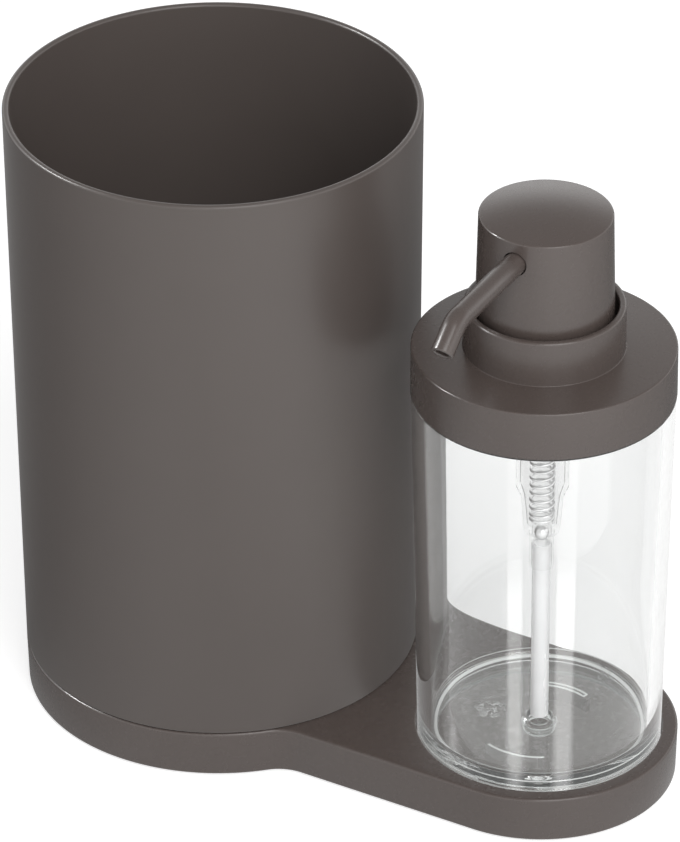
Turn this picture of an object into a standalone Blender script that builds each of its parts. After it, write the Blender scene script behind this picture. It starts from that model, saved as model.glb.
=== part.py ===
"""Bathroom organizer: a long low tray that carries a tall open cup and a clear pump dispenser.

Metres, +Z up. The cup stands at -X and the dispenser at +X, and the spout points to -Y. The origin
is the middle of the whole object's box, on the surface that it stands on.
"""

import math

import bmesh
import bpy
import numpy as np
from mathutils import Vector

# Clearances and shared sizes
SEAT_GAP = 0.0003            # between faces that rest on each other
FIT_GAP = 0.0003             # around a piece that sits in another
OVERRUN = 0.002              # how far a cutter passes the face that it cuts
AXIS_SPACING = 0.0990        # from the cup's axis to the dispenser's
WELD = 1e-6                  # points this close become one
MM = 1000                    # millimetres in a metre

# Tray
FOOT_STAND = 0.0006          # the pads lift the tray's rim off the surface
TRAY_H = 0.0132
TRAY_DRAFT = 0.0003          # how far the sides draw in towards the foot
TRAY_EDGE_R = 0.0008
TRAY_FOOT_EDGE_R = 0.0003
TRAY_WALL = 0.0020
TRAY_MARGIN = 0.0045         # tray left around the bottle
BRIDGE_FILLET = 0.0120       # where the bottle's end runs into the cup's
BRIDGE_TAPER = math.radians(1.1)   # how far each side leans in towards the cup's end
RIB_PITCH = 0.0170
RIB_T = 0.0014
RIB_LIFT = 0.0020            # the ribs stop this far above the tray's rim
RECESS_DEPTH = 0.0050
RECESS_CLEAR = 0.0004
PLATEAU_H = 0.0022           # the cup drops over it
PLATEAU_EDGE_R = 0.0006
SEAT_RIB_R = 0.0173          # the arc ribs under the bottle
SEAT_RIB_T = 0.0014
SEAT_RIB_SPAN = math.radians(52)

# Foot pads
PAD_R = 0.0060
PAD_T = 0.0016
PAD_EDGE_R = 0.0005
PAD_BOSS_R = 0.0067
CUP_PAD_MARGIN = 0.0141       # from the tray's outline to a pad's middle
CUP_PAD_TURNS = (math.radians(90), math.radians(180), math.radians(270))
BOTTLE_PAD_MARGIN = 0.0138
BOTTLE_PAD_TURNS = (math.radians(-50), math.radians(50))

# Cup
CUP_FOOT_R = 0.0541
CUP_RIM_R = 0.0557
CUP_H = 0.1653
CUP_WALL = 0.0019
CUP_FLOOR_T = 0.0025
CUP_FOOT_W = 0.0036
CUP_FLOOR_R = 0.0030
CUP_EDGE_R = 0.0004

# Bottle
BOTTLE_FOOT_R = 0.03296
BOTTLE_SHOULDER_R = 0.03497
BOTTLE_BODY_H = 0.1098
BOTTLE_WALL = 0.0034
BOTTLE_HEEL_R = 0.0012
BOTTLE_FLOOR_T = 0.0020
BOTTLE_FLOOR_R = 0.0012
PUNT_H = 0.0041              # the floor stands this far above the foot ring
RIM_EDGE_R = 0.0005
SUMP_R = 0.00385
SUMP_WALL = 0.0008
SUMP_LIFT = 0.0003
SUMP_FLARE_R = 0.0006

# Lid
LID_FOOT_R = 0.03510
LID_TOP_R = 0.03500
LID_H = 0.0139
LID_T = 0.0020
LID_WALL = 0.0016
LID_EDGE_R = 0.0005
LID_FOOT_EDGE_R = 0.0003
COLLAR_R = 0.02135
COLLAR_FOOT_R = 0.02140
COLLAR_H = 0.01295
COLLAR_WALL = 0.0020
COLLAR_EDGE_R = 0.0008
COLLAR_FILLET = 0.0002
PLUG_DEPTH = 0.0097          # the lid's inner wall, which holds the seal
PLUG_WALL = 0.0016
SEAL_BEAD_H = 0.0012
SEAL_BEAD_OUT = 0.0010

# Lid seal
SEAL_T = 0.0018
SEAL_LIP = 0.0004            # how far the seal's lips stand out from its band
SEAL_LIP_H = 0.0010
SEAL_EASE = 0.0012           # the band stops this far below the lid's underside

# Pump head
STROKE = 0.0120
HEAD_LAP = 0.0050            # the head's skirt reaches this far into the collar at rest
WELL_SPARE = 0.0016
HEAD_FOOT_R = 0.01838
HEAD_TOP_R = 0.01759
HEAD_H = 0.0316             # skirt foot to the top edge
HEAD_DOME = 0.0023
HEAD_WALL = 0.0020
HEAD_CAP_T = 0.0018          # at the top edge, and thicker under the dome
HEAD_EDGE_R = 0.0009

# Spout
SPOUT_R = 0.00305
SPOUT_BORE_R = 0.0018
SPOUT_CORNER = 0.0498        # from the pump's axis to where the tube turns down
SPOUT_TIP_L = 0.0094
SPOUT_DROOP = math.radians(38)
SPOUT_BEND_R = 0.0070
SPOUT_HOLE_CLEAR = 0.0003
SPOUT_ROOT = 0.0060          # from the pump's axis to the tube's inner end

# Actuator core, inside the head
CORE_R = 0.0047
CORE_DISC_T = 0.0015
CORE_CHANNEL_R = 0.0017
CORE_ARM_WALL = 0.0007
CORE_ARM_SPARE = 0.0020      # the arm ends this far inside the head's skirt
CORE_EASE = 0.0005           # left under the core's foot at full stroke

# Stem, piston and valve plug
STEM_R = 0.0033
STEM_BORE_R = 0.0022
STEM_GRIP = 0.0100           # how far the stem reaches into the core
STEM_SHOULDER_R = 0.0046
STEM_SHOULDER_T = 0.0015
STEM_TAIL = 0.0055           # how far the stem reaches below its shoulder
PISTON_H = 0.0070
PISTON_LIP = 0.0004
PISTON_LIP_H = 0.0014
PLUG_FLANGE_R = 0.0047
PLUG_FLANGE_T = 0.0012
PLUG_ROD_R = 0.0018
PLUG_ROD_L = 0.0080
SPIGOT_R = 0.0021
SPIGOT_L = 0.0060

# Pump housing
HOUSING_R = 0.0070
HOUSING_WALL = 0.0012
FLANGE_R = 0.0103
FLANGE_T = 0.0015
HOUSING_NECK_H = 0.0027      # above the flange
BARREL_H = 0.03815           # below the flange
SHOULDER_H = 0.0033
LOWER_TOP_R = 0.00565
LOWER_FOOT_R = 0.0048
LOWER_H = 0.0110
LOWER_WALL = 0.00115
SOCKET_R = 0.00325
SOCKET_H = 0.0111
CHAMBER_DROP = 0.0012        # the ball's chamber starts this far below the lower barrel's foot
CHAMBER_R = 0.0025           # around the ball
CHAMBER_H = 0.0028
CHAMBER_LIP_R = 0.00175      # keeps the ball down
CHAMBER_LIP_H = 0.0008
VALVE_SEAT_H = 0.0012
VALVE_BORE_R = 0.0012
VALVE_BORE_H = 0.0014
BALL_R = 0.0020
BALL_EASE = 0.0001           # left between the ball and its seat

# Housing gasket, ring nut and chaplet
GASKET_T = 0.0008
NUT_R = 0.0120
NUT_T = 0.0032
NUT_EDGE_R = 0.0004
NUT_SIDES = 6
CHAPLET_WALL = 0.0013
CHAPLET_T = 0.0012
SLEEVE_L = 0.0120            # the chaplet's guide sleeve, measured from the chaplet's top
CHAPLET_EDGE_R = 0.0004

# Dip tube
TUBE_R = 0.00245
TUBE_BORE_R = 0.0019
TUBE_FIT = 0.0002            # around the tube in its socket
TUBE_END_LIFT = 0.0018       # the tube stops this far above the bottle's floor

# Spring
WIRE_R = 0.0004
SPRING_R = 0.00305           # to the middle of the wire
SPRING_TURNS = 15
SPRING_END_TURNS = 1.5
SPRING_END_PITCH = 0.0013
SPRING_TURN_POINTS = 10
LEAST_SPRING_GAP = 0.0004

# Facets
FINE_SEGMENTS = 64
ROUND_SEGMENTS = 48
HEAD_SEGMENTS = 48
SMALL_SEGMENTS = 24
CORE_SEGMENTS = 32
TINY_SEGMENTS = 16
TRAY_CUP_STEPS = 42
TRAY_END_STEPS = 20
TRAY_FILLET_STEPS = 4
SEAT_RIB_STEPS = 6
SPOUT_BEND_STEPS = 6
SPOUT_ROUNDNESS = 4          # bevel resolution of the spout and its bore
WIRE_ROUNDNESS = 1
CORNER_STEPS = 2
DOME_STEPS = 5
CORNER_SHARE = 0.48          # most of an edge that one rounded corner takes
SMOOTH_ANGLE = math.radians(35)

# Levels, from the surface up
TRAY_TOP_Z = FOOT_STAND + TRAY_H
RECESS_Z = TRAY_TOP_Z - RECESS_DEPTH
PLATEAU_Z = TRAY_TOP_Z + PLATEAU_H
CUP_Z = TRAY_TOP_Z + SEAT_GAP
CUP_TOP_Z = CUP_Z + CUP_H
BOTTLE_Z = RECESS_Z + SEAT_GAP
SHOULDER_Z = BOTTLE_Z + BOTTLE_BODY_H
FLOOR_UNDER_Z = BOTTLE_Z + PUNT_H
FLOOR_Z = FLOOR_UNDER_Z + BOTTLE_FLOOR_T
SUMP_Z = BOTTLE_Z + SUMP_LIFT
LID_Z = SHOULDER_Z + SEAT_GAP
LID_TOP_Z = LID_Z + LID_H
LID_UNDER_Z = LID_TOP_Z - LID_T
RIM_Z = LID_UNDER_Z - SEAT_GAP
COLLAR_TOP_Z = LID_TOP_Z + COLLAR_H
WELL_Z = COLLAR_TOP_Z - HEAD_LAP - STROKE - WELL_SPARE
HEAD_FOOT_Z = COLLAR_TOP_Z - HEAD_LAP
HEAD_TOP_Z = HEAD_FOOT_Z + HEAD_H
HEAD_ROOF_Z = HEAD_TOP_Z - HEAD_CAP_T
GASKET_Z = WELL_Z + SEAT_GAP
FLANGE_Z = GASKET_Z + GASKET_T + SEAT_GAP
FLANGE_TOP_Z = FLANGE_Z + FLANGE_T
NECK_TOP_Z = FLANGE_TOP_Z + HOUSING_NECK_H
CHAPLET_TOP_Z = NECK_TOP_Z + SEAT_GAP + CHAPLET_T
SLEEVE_FOOT_Z = CHAPLET_TOP_Z - SLEEVE_L
STEM_SHOULDER_Z = SLEEVE_FOOT_Z - SEAT_GAP
PISTON_TOP_Z = STEM_SHOULDER_Z - STEM_SHOULDER_T - SEAT_GAP
PISTON_Z = PISTON_TOP_Z - PISTON_H
PLUG_FLANGE_Z = PISTON_Z - SEAT_GAP - PLUG_FLANGE_T
CORE_FOOT_Z = CHAPLET_TOP_Z + STROKE + CORE_EASE
STEM_TOP_Z = CORE_FOOT_Z + STEM_GRIP
CORE_TOP_Z = HEAD_ROOF_Z - SEAT_GAP
CORE_ARM_R = SPOUT_R + FIT_GAP + CORE_ARM_WALL
SPOUT_Z = CORE_TOP_Z - CORE_ARM_R
BARREL_FOOT_Z = FLANGE_Z - BARREL_H
LOWER_TOP_Z = BARREL_FOOT_Z - SHOULDER_H
LOWER_FOOT_Z = LOWER_TOP_Z - LOWER_H
SOCKET_FOOT_Z = LOWER_FOOT_Z - SOCKET_H
CHAMBER_Z = LOWER_FOOT_Z - CHAMBER_DROP
CHAMBER_TOP_Z = CHAMBER_Z + CHAMBER_H
SPRING_SEAT_Z = CHAMBER_TOP_Z + CHAMBER_LIP_H
VALVE_BORE_Z = CHAMBER_Z - VALVE_SEAT_H
TUBE_TOP_Z = VALVE_BORE_Z - VALVE_BORE_H - SEAT_GAP
TUBE_FOOT_Z = FLOOR_Z + TUBE_END_LIFT

# Radii that follow from what a piece fits
PLATEAU_R = CUP_FOOT_R - CUP_FOOT_W - FIT_GAP
WELL_R = COLLAR_R - COLLAR_WALL
SKIRT_IN_R = LID_FOOT_R - LID_WALL
REBATE_R = SKIRT_IN_R - FIT_GAP
BORE_R = HOUSING_R - HOUSING_WALL
PIPE_HOLE_R = HOUSING_R + FIT_GAP
MOUTH_R = BOTTLE_SHOULDER_R - BOTTLE_WALL
LID_PLUG_R = MOUTH_R - FIT_GAP - SEAL_T - FIT_GAP

# Places in plan: the box's middle is at the origin
SPOUT_REACH = SPOUT_CORNER + SPOUT_TIP_L * math.cos(SPOUT_DROOP) + SPOUT_R * math.sin(SPOUT_DROOP)


def slope_r(low_r, low_z, high_r, high_z, z):
    """The radius at height z of a cone that passes through two given rings."""
    return low_r + (high_r - low_r) * (z - low_z) / (high_z - low_z)


def bottle_r(z):
    """The bottle's outer radius at height z."""
    return slope_r(BOTTLE_FOOT_R, BOTTLE_Z, BOTTLE_SHOULDER_R, SHOULDER_Z, z)


def head_r(z):
    """The head's outer radius at height z."""
    return slope_r(HEAD_FOOT_R, HEAD_FOOT_Z, HEAD_TOP_R, HEAD_TOP_Z, z)


TRAY_END_R = bottle_r(TRAY_TOP_Z) + TRAY_MARGIN
CUP_PAD_RING_R = CUP_FOOT_R - CUP_PAD_MARGIN
BOTTLE_PAD_RING_R = TRAY_END_R - BOTTLE_PAD_MARGIN
RECESS_R = bottle_r(TRAY_TOP_Z) + RECESS_CLEAR
BOTTLE_X = (AXIS_SPACING + CUP_RIM_R - TRAY_END_R) / 2
CUP_X = BOTTLE_X - AXIS_SPACING
AXIS_Y = (SPOUT_REACH - CUP_RIM_R) / 2


def clear_scene():
    for obj in list(bpy.data.objects):
        bpy.data.objects.remove(obj, do_unlink=True)


def new_collection(name):
    collection = bpy.data.collections.new(name)
    bpy.context.scene.collection.children.link(collection)
    return collection


def finish(name, colour, roughness, metallic=0.0, transmission=0.0):
    material = bpy.data.materials.new(name)
    material.use_nodes = True
    shader = material.node_tree.nodes["Principled BSDF"]
    shader.inputs["Base Color"].default_value = (*colour, 1.0)
    shader.inputs["Roughness"].default_value = roughness
    shader.inputs["Metallic"].default_value = metallic
    shader.inputs["Transmission Weight"].default_value = transmission
    return material


def axis_empty(name, x, y):
    """An empty on a vertical axis, which the pieces on that axis hang from."""
    empty = bpy.data.objects.new(name, None)
    empty.location = (x, y, 0)
    parts.objects.link(empty)
    return empty


def add_object(name, mesh, parent, material):
    obj = bpy.data.objects.new(name, mesh)
    obj.parent = parent
    if material:
        mesh.materials.append(material)
        parts.objects.link(obj)
    else:
        obj.hide_render = True
        obj.display_type = "WIRE"
        cutters.objects.link(obj)
    return obj


def smooth(obj):
    obj.data.shade_smooth()
    obj.data.set_sharp_from_angle(angle=SMOOTH_ANGLE)
    return obj


def rounded(corners, closed=False):
    """The points of an outline whose corners (x, z, radius) are rounded with arcs."""
    points = []
    last = len(corners) - 1
    for index, (x, z, radius) in enumerate(corners):
        here = Vector((x, z))
        if not radius or (not closed and index in (0, last)):
            points.append(here)
            continue
        before = Vector(corners[index - 1][:2]) - here
        after = Vector(corners[(index + 1) % len(corners)][:2]) - here
        half = before.angle(after) / 2
        reach = min(radius / math.tan(half), CORNER_SHARE * min(before.length, after.length))
        start = here + before.normalized() * reach
        bisector = (before.normalized() + after.normalized()).normalized()
        centre = here + bisector * reach / math.cos(half)
        turn = math.copysign(math.pi - 2 * half, after.cross(before))
        for step in range(CORNER_STEPS + 1):
            angle = turn * step / CORNER_STEPS
            arm = start - centre
            points.append(centre + Vector((
                arm.x * math.cos(angle) - arm.y * math.sin(angle),
                arm.x * math.sin(angle) + arm.y * math.cos(angle))))
    return points


def turned(name, points, parent, material, segments, closed=False):
    """A turned piece: a profile of (radius, height) points, swept round Z by a Screw modifier."""
    mesh = bpy.data.meshes.new(name)
    edges = [(i, i + 1) for i in range(len(points) - 1)]
    if closed:
        edges.append((len(points) - 1, 0))
    mesh.from_pydata([(point[0], 0, point[1]) for point in points], edges, [])
    obj = add_object(name, mesh, parent, material)
    screw = obj.modifiers.new("Turn", "SCREW")
    screw.steps = screw.render_steps = segments
    screw.use_merge_vertices = True
    screw.merge_threshold = WELD
    screw.use_smooth_shade = True
    return obj


def prism(name, outline, bottom, top, parent, material=None):
    """A flat outline of (x, y) points raised from one height to another."""
    mesh = bpy.data.meshes.new(name)
    bm = bmesh.new()
    face = bm.faces.new([bm.verts.new((x, y, bottom)) for x, y in outline])
    raised = bmesh.ops.extrude_face_region(bm, geom=[face])
    moved = [item for item in raised["geom"] if isinstance(item, bmesh.types.BMVert)]
    bmesh.ops.translate(bm, verts=moved, vec=(0, 0, top - bottom))
    bmesh.ops.recalc_face_normals(bm, faces=bm.faces)
    bm.to_mesh(mesh)
    bm.free()
    return add_object(name, mesh, parent, material)


def loft(name, rings, parent, material=None):
    """A closed skin through rings of equal counts of points, listed from the bottom up."""
    mesh = bpy.data.meshes.new(name)
    bm = bmesh.new()
    loops = [[bm.verts.new(point) for point in ring] for ring in rings]
    count = len(loops[0])
    for low, high in zip(loops, loops[1:]):
        for i in range(count):
            bm.faces.new((low[i], low[(i + 1) % count], high[(i + 1) % count], high[i]))
    bm.faces.new(loops[0][::-1])
    bm.faces.new(loops[-1])
    bmesh.ops.recalc_face_normals(bm, faces=bm.faces)
    bm.to_mesh(mesh)
    bm.free()
    return add_object(name, mesh, parent, material)


def rod_cutter(name, radius, bottom, top, parent, x=0, y=0, segments=SMALL_SEGMENTS):
    """An upright cylinder for a Boolean modifier."""
    mesh = bpy.data.meshes.new(name)
    bm = bmesh.new()
    bmesh.ops.create_cone(bm, cap_ends=True, segments=segments, radius1=radius, radius2=radius,
                          depth=top - bottom)
    bm.to_mesh(mesh)
    bm.free()
    obj = add_object(name, mesh, parent, None)
    obj.location = (x, y, (bottom + top) / 2)
    return obj


def side_cutter(name, radius, start, end, height, parent, segments=SMALL_SEGMENTS):
    """A cylinder that points to -Y from one distance off the axis to another."""
    obj = rod_cutter(name, radius, start, end, parent, segments=segments)
    obj.location = (0, -(start + end) / 2, height)
    obj.rotation_euler = (math.pi / 2, 0, 0)
    return obj


def boolean(obj, other, operation="DIFFERENCE"):
    modifier = obj.modifiers.new(other.name, "BOOLEAN")
    modifier.operation = operation
    modifier.object = other
    return obj


def curve_tube(name, path, radius, parent, material, roundness):
    """A round bar along a list of points."""
    curve = bpy.data.curves.new(name, "CURVE")
    curve.dimensions = "3D"
    curve.bevel_depth = radius
    curve.bevel_resolution = roundness
    curve.use_fill_caps = True
    spline = curve.splines.new("POLY")
    spline.points.add(len(path) - 1)
    for point, place in zip(spline.points, path):
        point.co = (*place, 1)
    obj = bpy.data.objects.new(name, curve)
    obj.parent = parent
    if material:
        curve.materials.append(material)
    parts.objects.link(obj)
    return obj


def as_mesh(curve_object, material=None):
    """The curve's evaluated shape as a welded mesh object of the same name and place."""
    bpy.context.view_layer.update()
    graph = bpy.context.evaluated_depsgraph_get()
    mesh = bpy.data.meshes.new_from_object(curve_object.evaluated_get(graph))
    bm = bmesh.new()
    bm.from_mesh(mesh)
    bmesh.ops.remove_doubles(bm, verts=bm.verts, dist=WELD)
    bm.to_mesh(mesh)
    bm.free()
    mesh.materials.clear()
    name = curve_object.name
    parent = curve_object.parent
    bpy.data.objects.remove(curve_object, do_unlink=True)
    return add_object(name, mesh, parent, material)


def arc_points(x, y, radius, start, end, steps):
    return [(x + radius * math.cos(start + (end - start) * i / steps),
             y + radius * math.sin(start + (end - start) * i / steps)) for i in range(steps + 1)]


def tray_outline(inset):
    """The tray's plan, drawn in from its widest by inset: two round ends and a filleted bridge."""
    cup_r = CUP_FOOT_R - inset
    end_r = TRAY_END_R - inset
    fillet = BRIDGE_FILLET + inset
    span = cup_r + fillet
    turn = BRIDGE_TAPER + math.asin((end_r + fillet - AXIS_SPACING * math.sin(BRIDGE_TAPER)) / span)
    fillet_x, fillet_y = CUP_X + span * math.cos(turn), span * math.sin(turn)
    side = math.pi / 2 + BRIDGE_TAPER
    points = arc_points(BOTTLE_X, 0, end_r, -side, side, TRAY_END_STEPS)
    points += arc_points(fillet_x, fillet_y, fillet, side - math.pi, turn - math.pi, TRAY_FILLET_STEPS)
    points += arc_points(CUP_X, 0, cup_r, turn, 2 * math.pi - turn, TRAY_CUP_STEPS)[1:-1]
    points += arc_points(fillet_x, -fillet_y, fillet, math.pi - turn, math.pi - side,
                         TRAY_FILLET_STEPS)
    return points


def tray_ring(inset, height):
    return [(x, y, height) for x, y in tray_outline(inset)]


def pad_places():
    """The middles of the foot pads, measured from the tray's long axis."""
    cup = [(CUP_X + CUP_PAD_RING_R * math.cos(a), CUP_PAD_RING_R * math.sin(a))
           for a in CUP_PAD_TURNS]
    bottle = [(BOTTLE_X + BOTTLE_PAD_RING_R * math.cos(a), BOTTLE_PAD_RING_R * math.sin(a))
              for a in BOTTLE_PAD_TURNS]
    return cup + bottle


def build_tray():
    """A moulding that is open below: its skin, less the core that the ribs and bosses are cut from."""
    edge_z = TRAY_TOP_Z - TRAY_EDGE_R
    rings = [tray_ring(TRAY_DRAFT + TRAY_FOOT_EDGE_R, FOOT_STAND),
             tray_ring(TRAY_DRAFT, FOOT_STAND + TRAY_FOOT_EDGE_R), tray_ring(0, edge_z)]
    for step in range(1, CORNER_STEPS + 1):
        angle = math.pi / 2 * step / CORNER_STEPS
        rings.append(tray_ring(TRAY_EDGE_R * (1 - math.cos(angle)),
                               edge_z + TRAY_EDGE_R * math.sin(angle)))
    tray = loft("base_tray", rings, tray_root, taupe)
    plateau = rod_cutter("plateau", PLATEAU_R, TRAY_TOP_Z - TRAY_WALL / 2, PLATEAU_Z, tray_root,
                         CUP_X, 0, FINE_SEGMENTS)
    bevel = plateau.modifiers.new("Edge", "BEVEL")
    bevel.width = PLATEAU_EDGE_R
    bevel.segments = CORNER_STEPS
    bevel.limit_method = "ANGLE"
    boolean(tray, plateau, "UNION")

    core = loft("core", [tray_ring(TRAY_DRAFT + TRAY_WALL, FOOT_STAND - OVERRUN),
                         tray_ring(TRAY_WALL, TRAY_TOP_Z - TRAY_WALL)], tray_root)
    boolean(core, rod_cutter("plateau_core", PLATEAU_R - TRAY_WALL, FOOT_STAND,
                             PLATEAU_Z - TRAY_WALL, tray_root, CUP_X, 0, FINE_SEGMENTS), "UNION")
    boolean(core, rod_cutter("recess_cup", RECESS_R + TRAY_WALL / 2, RECESS_Z - TRAY_WALL,
                             PLATEAU_Z, tray_root, BOTTLE_X, 0, ROUND_SEGMENTS))
    rib_rows = int((CUP_FOOT_R - TRAY_WALL) / RIB_PITCH)
    for row in range(-rib_rows + 1, rib_rows):
        y = row * RIB_PITCH
        left, right = CUP_X - CUP_FOOT_R, BOTTLE_X + TRAY_END_R
        low, high = y - RIB_T / 2, y + RIB_T / 2
        rib = prism(f"rib_{row + rib_rows}", [(left, low), (right, low), (right, high), (left, high)],
                    FOOT_STAND + RIB_LIFT, PLATEAU_Z, tray_root)
        boolean(core, rib)
    for index, (x, y) in enumerate(pad_places()):
        boolean(core, rod_cutter(f"pad_boss_{index + 1}", PAD_BOSS_R, PAD_T + SEAT_GAP, PLATEAU_Z,
                                 tray_root, x, y))
    boolean(tray, core)

    boolean(tray, rod_cutter("recess", RECESS_R, RECESS_Z, TRAY_TOP_Z + OVERRUN, tray_root,
                             BOTTLE_X, 0, ROUND_SEGMENTS))
    for index, middle in enumerate((math.pi / 2, -math.pi / 2)):
        start, end = middle - SEAT_RIB_SPAN / 2, middle + SEAT_RIB_SPAN / 2
        outer = arc_points(BOTTLE_X, 0, SEAT_RIB_R + SEAT_RIB_T / 2, start, end, SEAT_RIB_STEPS)
        inner = arc_points(BOTTLE_X, 0, SEAT_RIB_R - SEAT_RIB_T / 2, end, start, SEAT_RIB_STEPS)
        boolean(tray, prism(f"seat_rib_{index + 1}", outer + inner, RECESS_Z - TRAY_WALL / 2,
                            FLOOR_UNDER_Z - SEAT_GAP, tray_root), "UNION")
    return smooth(tray)


def build_pads():
    for index, (x, y) in enumerate(pad_places()):
        pad = turned(f"foot_pad_{index + 1}", rounded([
            (0, PAD_T, 0), (PAD_R, PAD_T, 0), (PAD_R, 0, PAD_EDGE_R), (0, 0, 0)]),
            tray_root, rubber, TINY_SEGMENTS)
        pad.location = (x, y, 0)


def build_cup():
    floor_under = PLATEAU_Z + SEAT_GAP
    floor_z = floor_under + CUP_FLOOR_T
    floor_r = slope_r(CUP_FOOT_R, CUP_Z, CUP_RIM_R, CUP_TOP_Z, floor_z) - CUP_WALL
    foot_in_r = CUP_FOOT_R - CUP_FOOT_W
    rim_r = CUP_WALL / 2
    return turned("cup", rounded([
        (0, floor_z, 0),
        (floor_r, floor_z, CUP_FLOOR_R),
        (CUP_RIM_R - CUP_WALL, CUP_TOP_Z, rim_r),
        (CUP_RIM_R, CUP_TOP_Z, rim_r),
        (CUP_FOOT_R, CUP_Z, CUP_EDGE_R),
        (foot_in_r, CUP_Z, CUP_EDGE_R),
        (foot_in_r, floor_under, 0),
        (0, floor_under, 0)]), cup_axis, taupe, FINE_SEGMENTS)


def build_bottle():
    floor_r = bottle_r(FLOOR_Z) - BOTTLE_WALL
    sump_in_r = SUMP_R - SUMP_WALL
    foot_in_r = BOTTLE_FOOT_R - BOTTLE_WALL
    return turned("bottle", rounded([
        (0, SUMP_Z + SUMP_WALL, 0),
        (sump_in_r, SUMP_Z + SUMP_WALL, 0),
        (sump_in_r, FLOOR_Z, SUMP_FLARE_R),
        (floor_r, FLOOR_Z, BOTTLE_FLOOR_R),
        (MOUTH_R, SHOULDER_Z, 0),
        (MOUTH_R, RIM_Z, 0),
        (REBATE_R, RIM_Z, 0),
        (REBATE_R, SHOULDER_Z, 0),
        (BOTTLE_SHOULDER_R, SHOULDER_Z, RIM_EDGE_R),
        (BOTTLE_FOOT_R, BOTTLE_Z, BOTTLE_HEEL_R),
        (foot_in_r, BOTTLE_Z, 0),
        (foot_in_r, FLOOR_UNDER_Z, 0),
        (SUMP_R, FLOOR_UNDER_Z, 0),
        (SUMP_R, SUMP_Z, 0),
        (0, SUMP_Z, 0)]), bottle_axis, clear, ROUND_SEGMENTS)


def build_lid():
    """Skirt, top, collar and well in one moulding, with the plug wall that holds the seal."""
    plug_foot = LID_UNDER_Z - PLUG_DEPTH
    bead_top = plug_foot + SEAL_BEAD_H
    well_under = WELL_Z - LID_T
    return turned("lid", rounded([
        (COLLAR_R, COLLAR_TOP_Z, COLLAR_EDGE_R),
        (COLLAR_FOOT_R, LID_TOP_Z, COLLAR_FILLET),
        (LID_TOP_R, LID_TOP_Z, LID_EDGE_R),
        (LID_FOOT_R, LID_Z, LID_FOOT_EDGE_R),
        (SKIRT_IN_R, LID_Z, 0),
        (SKIRT_IN_R, LID_UNDER_Z, 0),
        (LID_PLUG_R, LID_UNDER_Z, 0),
        (LID_PLUG_R, bead_top, 0),
        (LID_PLUG_R + SEAL_BEAD_OUT, bead_top, 0),
        (LID_PLUG_R, plug_foot, 0),
        (LID_PLUG_R - PLUG_WALL, plug_foot, 0),
        (LID_PLUG_R - PLUG_WALL, LID_UNDER_Z, 0),
        (COLLAR_FOOT_R, LID_UNDER_Z, 0),
        (COLLAR_FOOT_R, well_under, 0),
        (PIPE_HOLE_R, well_under, 0),
        (PIPE_HOLE_R, WELL_Z, 0),
        (WELL_R, WELL_Z, 0),
        (WELL_R, COLLAR_TOP_Z, COLLAR_EDGE_R)], closed=True), lid_axis, taupe, ROUND_SEGMENTS,
        closed=True)


def build_lid_seal():
    """A soft band round the lid's plug wall, with a lip at its foot and one at its middle."""
    inner = LID_PLUG_R + FIT_GAP
    lip = MOUTH_R - FIT_GAP
    band = lip - SEAL_LIP
    foot = LID_UNDER_Z - PLUG_DEPTH + SEAL_BEAD_H + SEAT_GAP
    top = LID_UNDER_Z - SEAL_EASE
    middle = (foot + top) / 2
    return turned("lid_seal", [Vector(point) for point in (
        (band, top), (band, middle + SEAL_LIP_H), (lip, middle + SEAL_LIP_H / 2), (band, middle),
        (band, foot + SEAL_LIP_H), (lip, foot + SEAL_LIP_H / 2), (band, foot),
        (inner, foot), (inner, top))], lid_axis, rubber, ROUND_SEGMENTS, closed=True)


def build_housing():
    """The pump's cylinder: flange, barrel, tapered spring barrel, ball chamber and tube socket."""
    barrel_bore_foot = BARREL_FOOT_Z + HOUSING_WALL
    lower_bore_r = LOWER_TOP_R - LOWER_WALL
    seat_r = slope_r(LOWER_FOOT_R, LOWER_FOOT_Z, LOWER_TOP_R, LOWER_TOP_Z, SPRING_SEAT_Z) - LOWER_WALL
    socket_bore_r = TUBE_R + TUBE_FIT
    socket_top = VALVE_BORE_Z - VALVE_BORE_H
    return turned("pump_housing", [Vector(point) for point in (
        (HOUSING_R, NECK_TOP_Z), (HOUSING_R, FLANGE_TOP_Z), (FLANGE_R, FLANGE_TOP_Z),
        (FLANGE_R, FLANGE_Z), (HOUSING_R, FLANGE_Z), (HOUSING_R, BARREL_FOOT_Z),
        (LOWER_TOP_R, LOWER_TOP_Z), (LOWER_FOOT_R, LOWER_FOOT_Z), (SOCKET_R, LOWER_FOOT_Z),
        (SOCKET_R, SOCKET_FOOT_Z), (socket_bore_r, SOCKET_FOOT_Z), (socket_bore_r, socket_top),
        (VALVE_BORE_R, socket_top), (VALVE_BORE_R, VALVE_BORE_Z), (CHAMBER_R, CHAMBER_Z),
        (CHAMBER_R, CHAMBER_TOP_Z), (CHAMBER_LIP_R, CHAMBER_TOP_Z), (CHAMBER_LIP_R, SPRING_SEAT_Z),
        (seat_r, SPRING_SEAT_Z), (lower_bore_r, LOWER_TOP_Z), (BORE_R, barrel_bore_foot),
        (BORE_R, NECK_TOP_Z))], lid_axis, milky, SMALL_SEGMENTS, closed=True)


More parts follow.
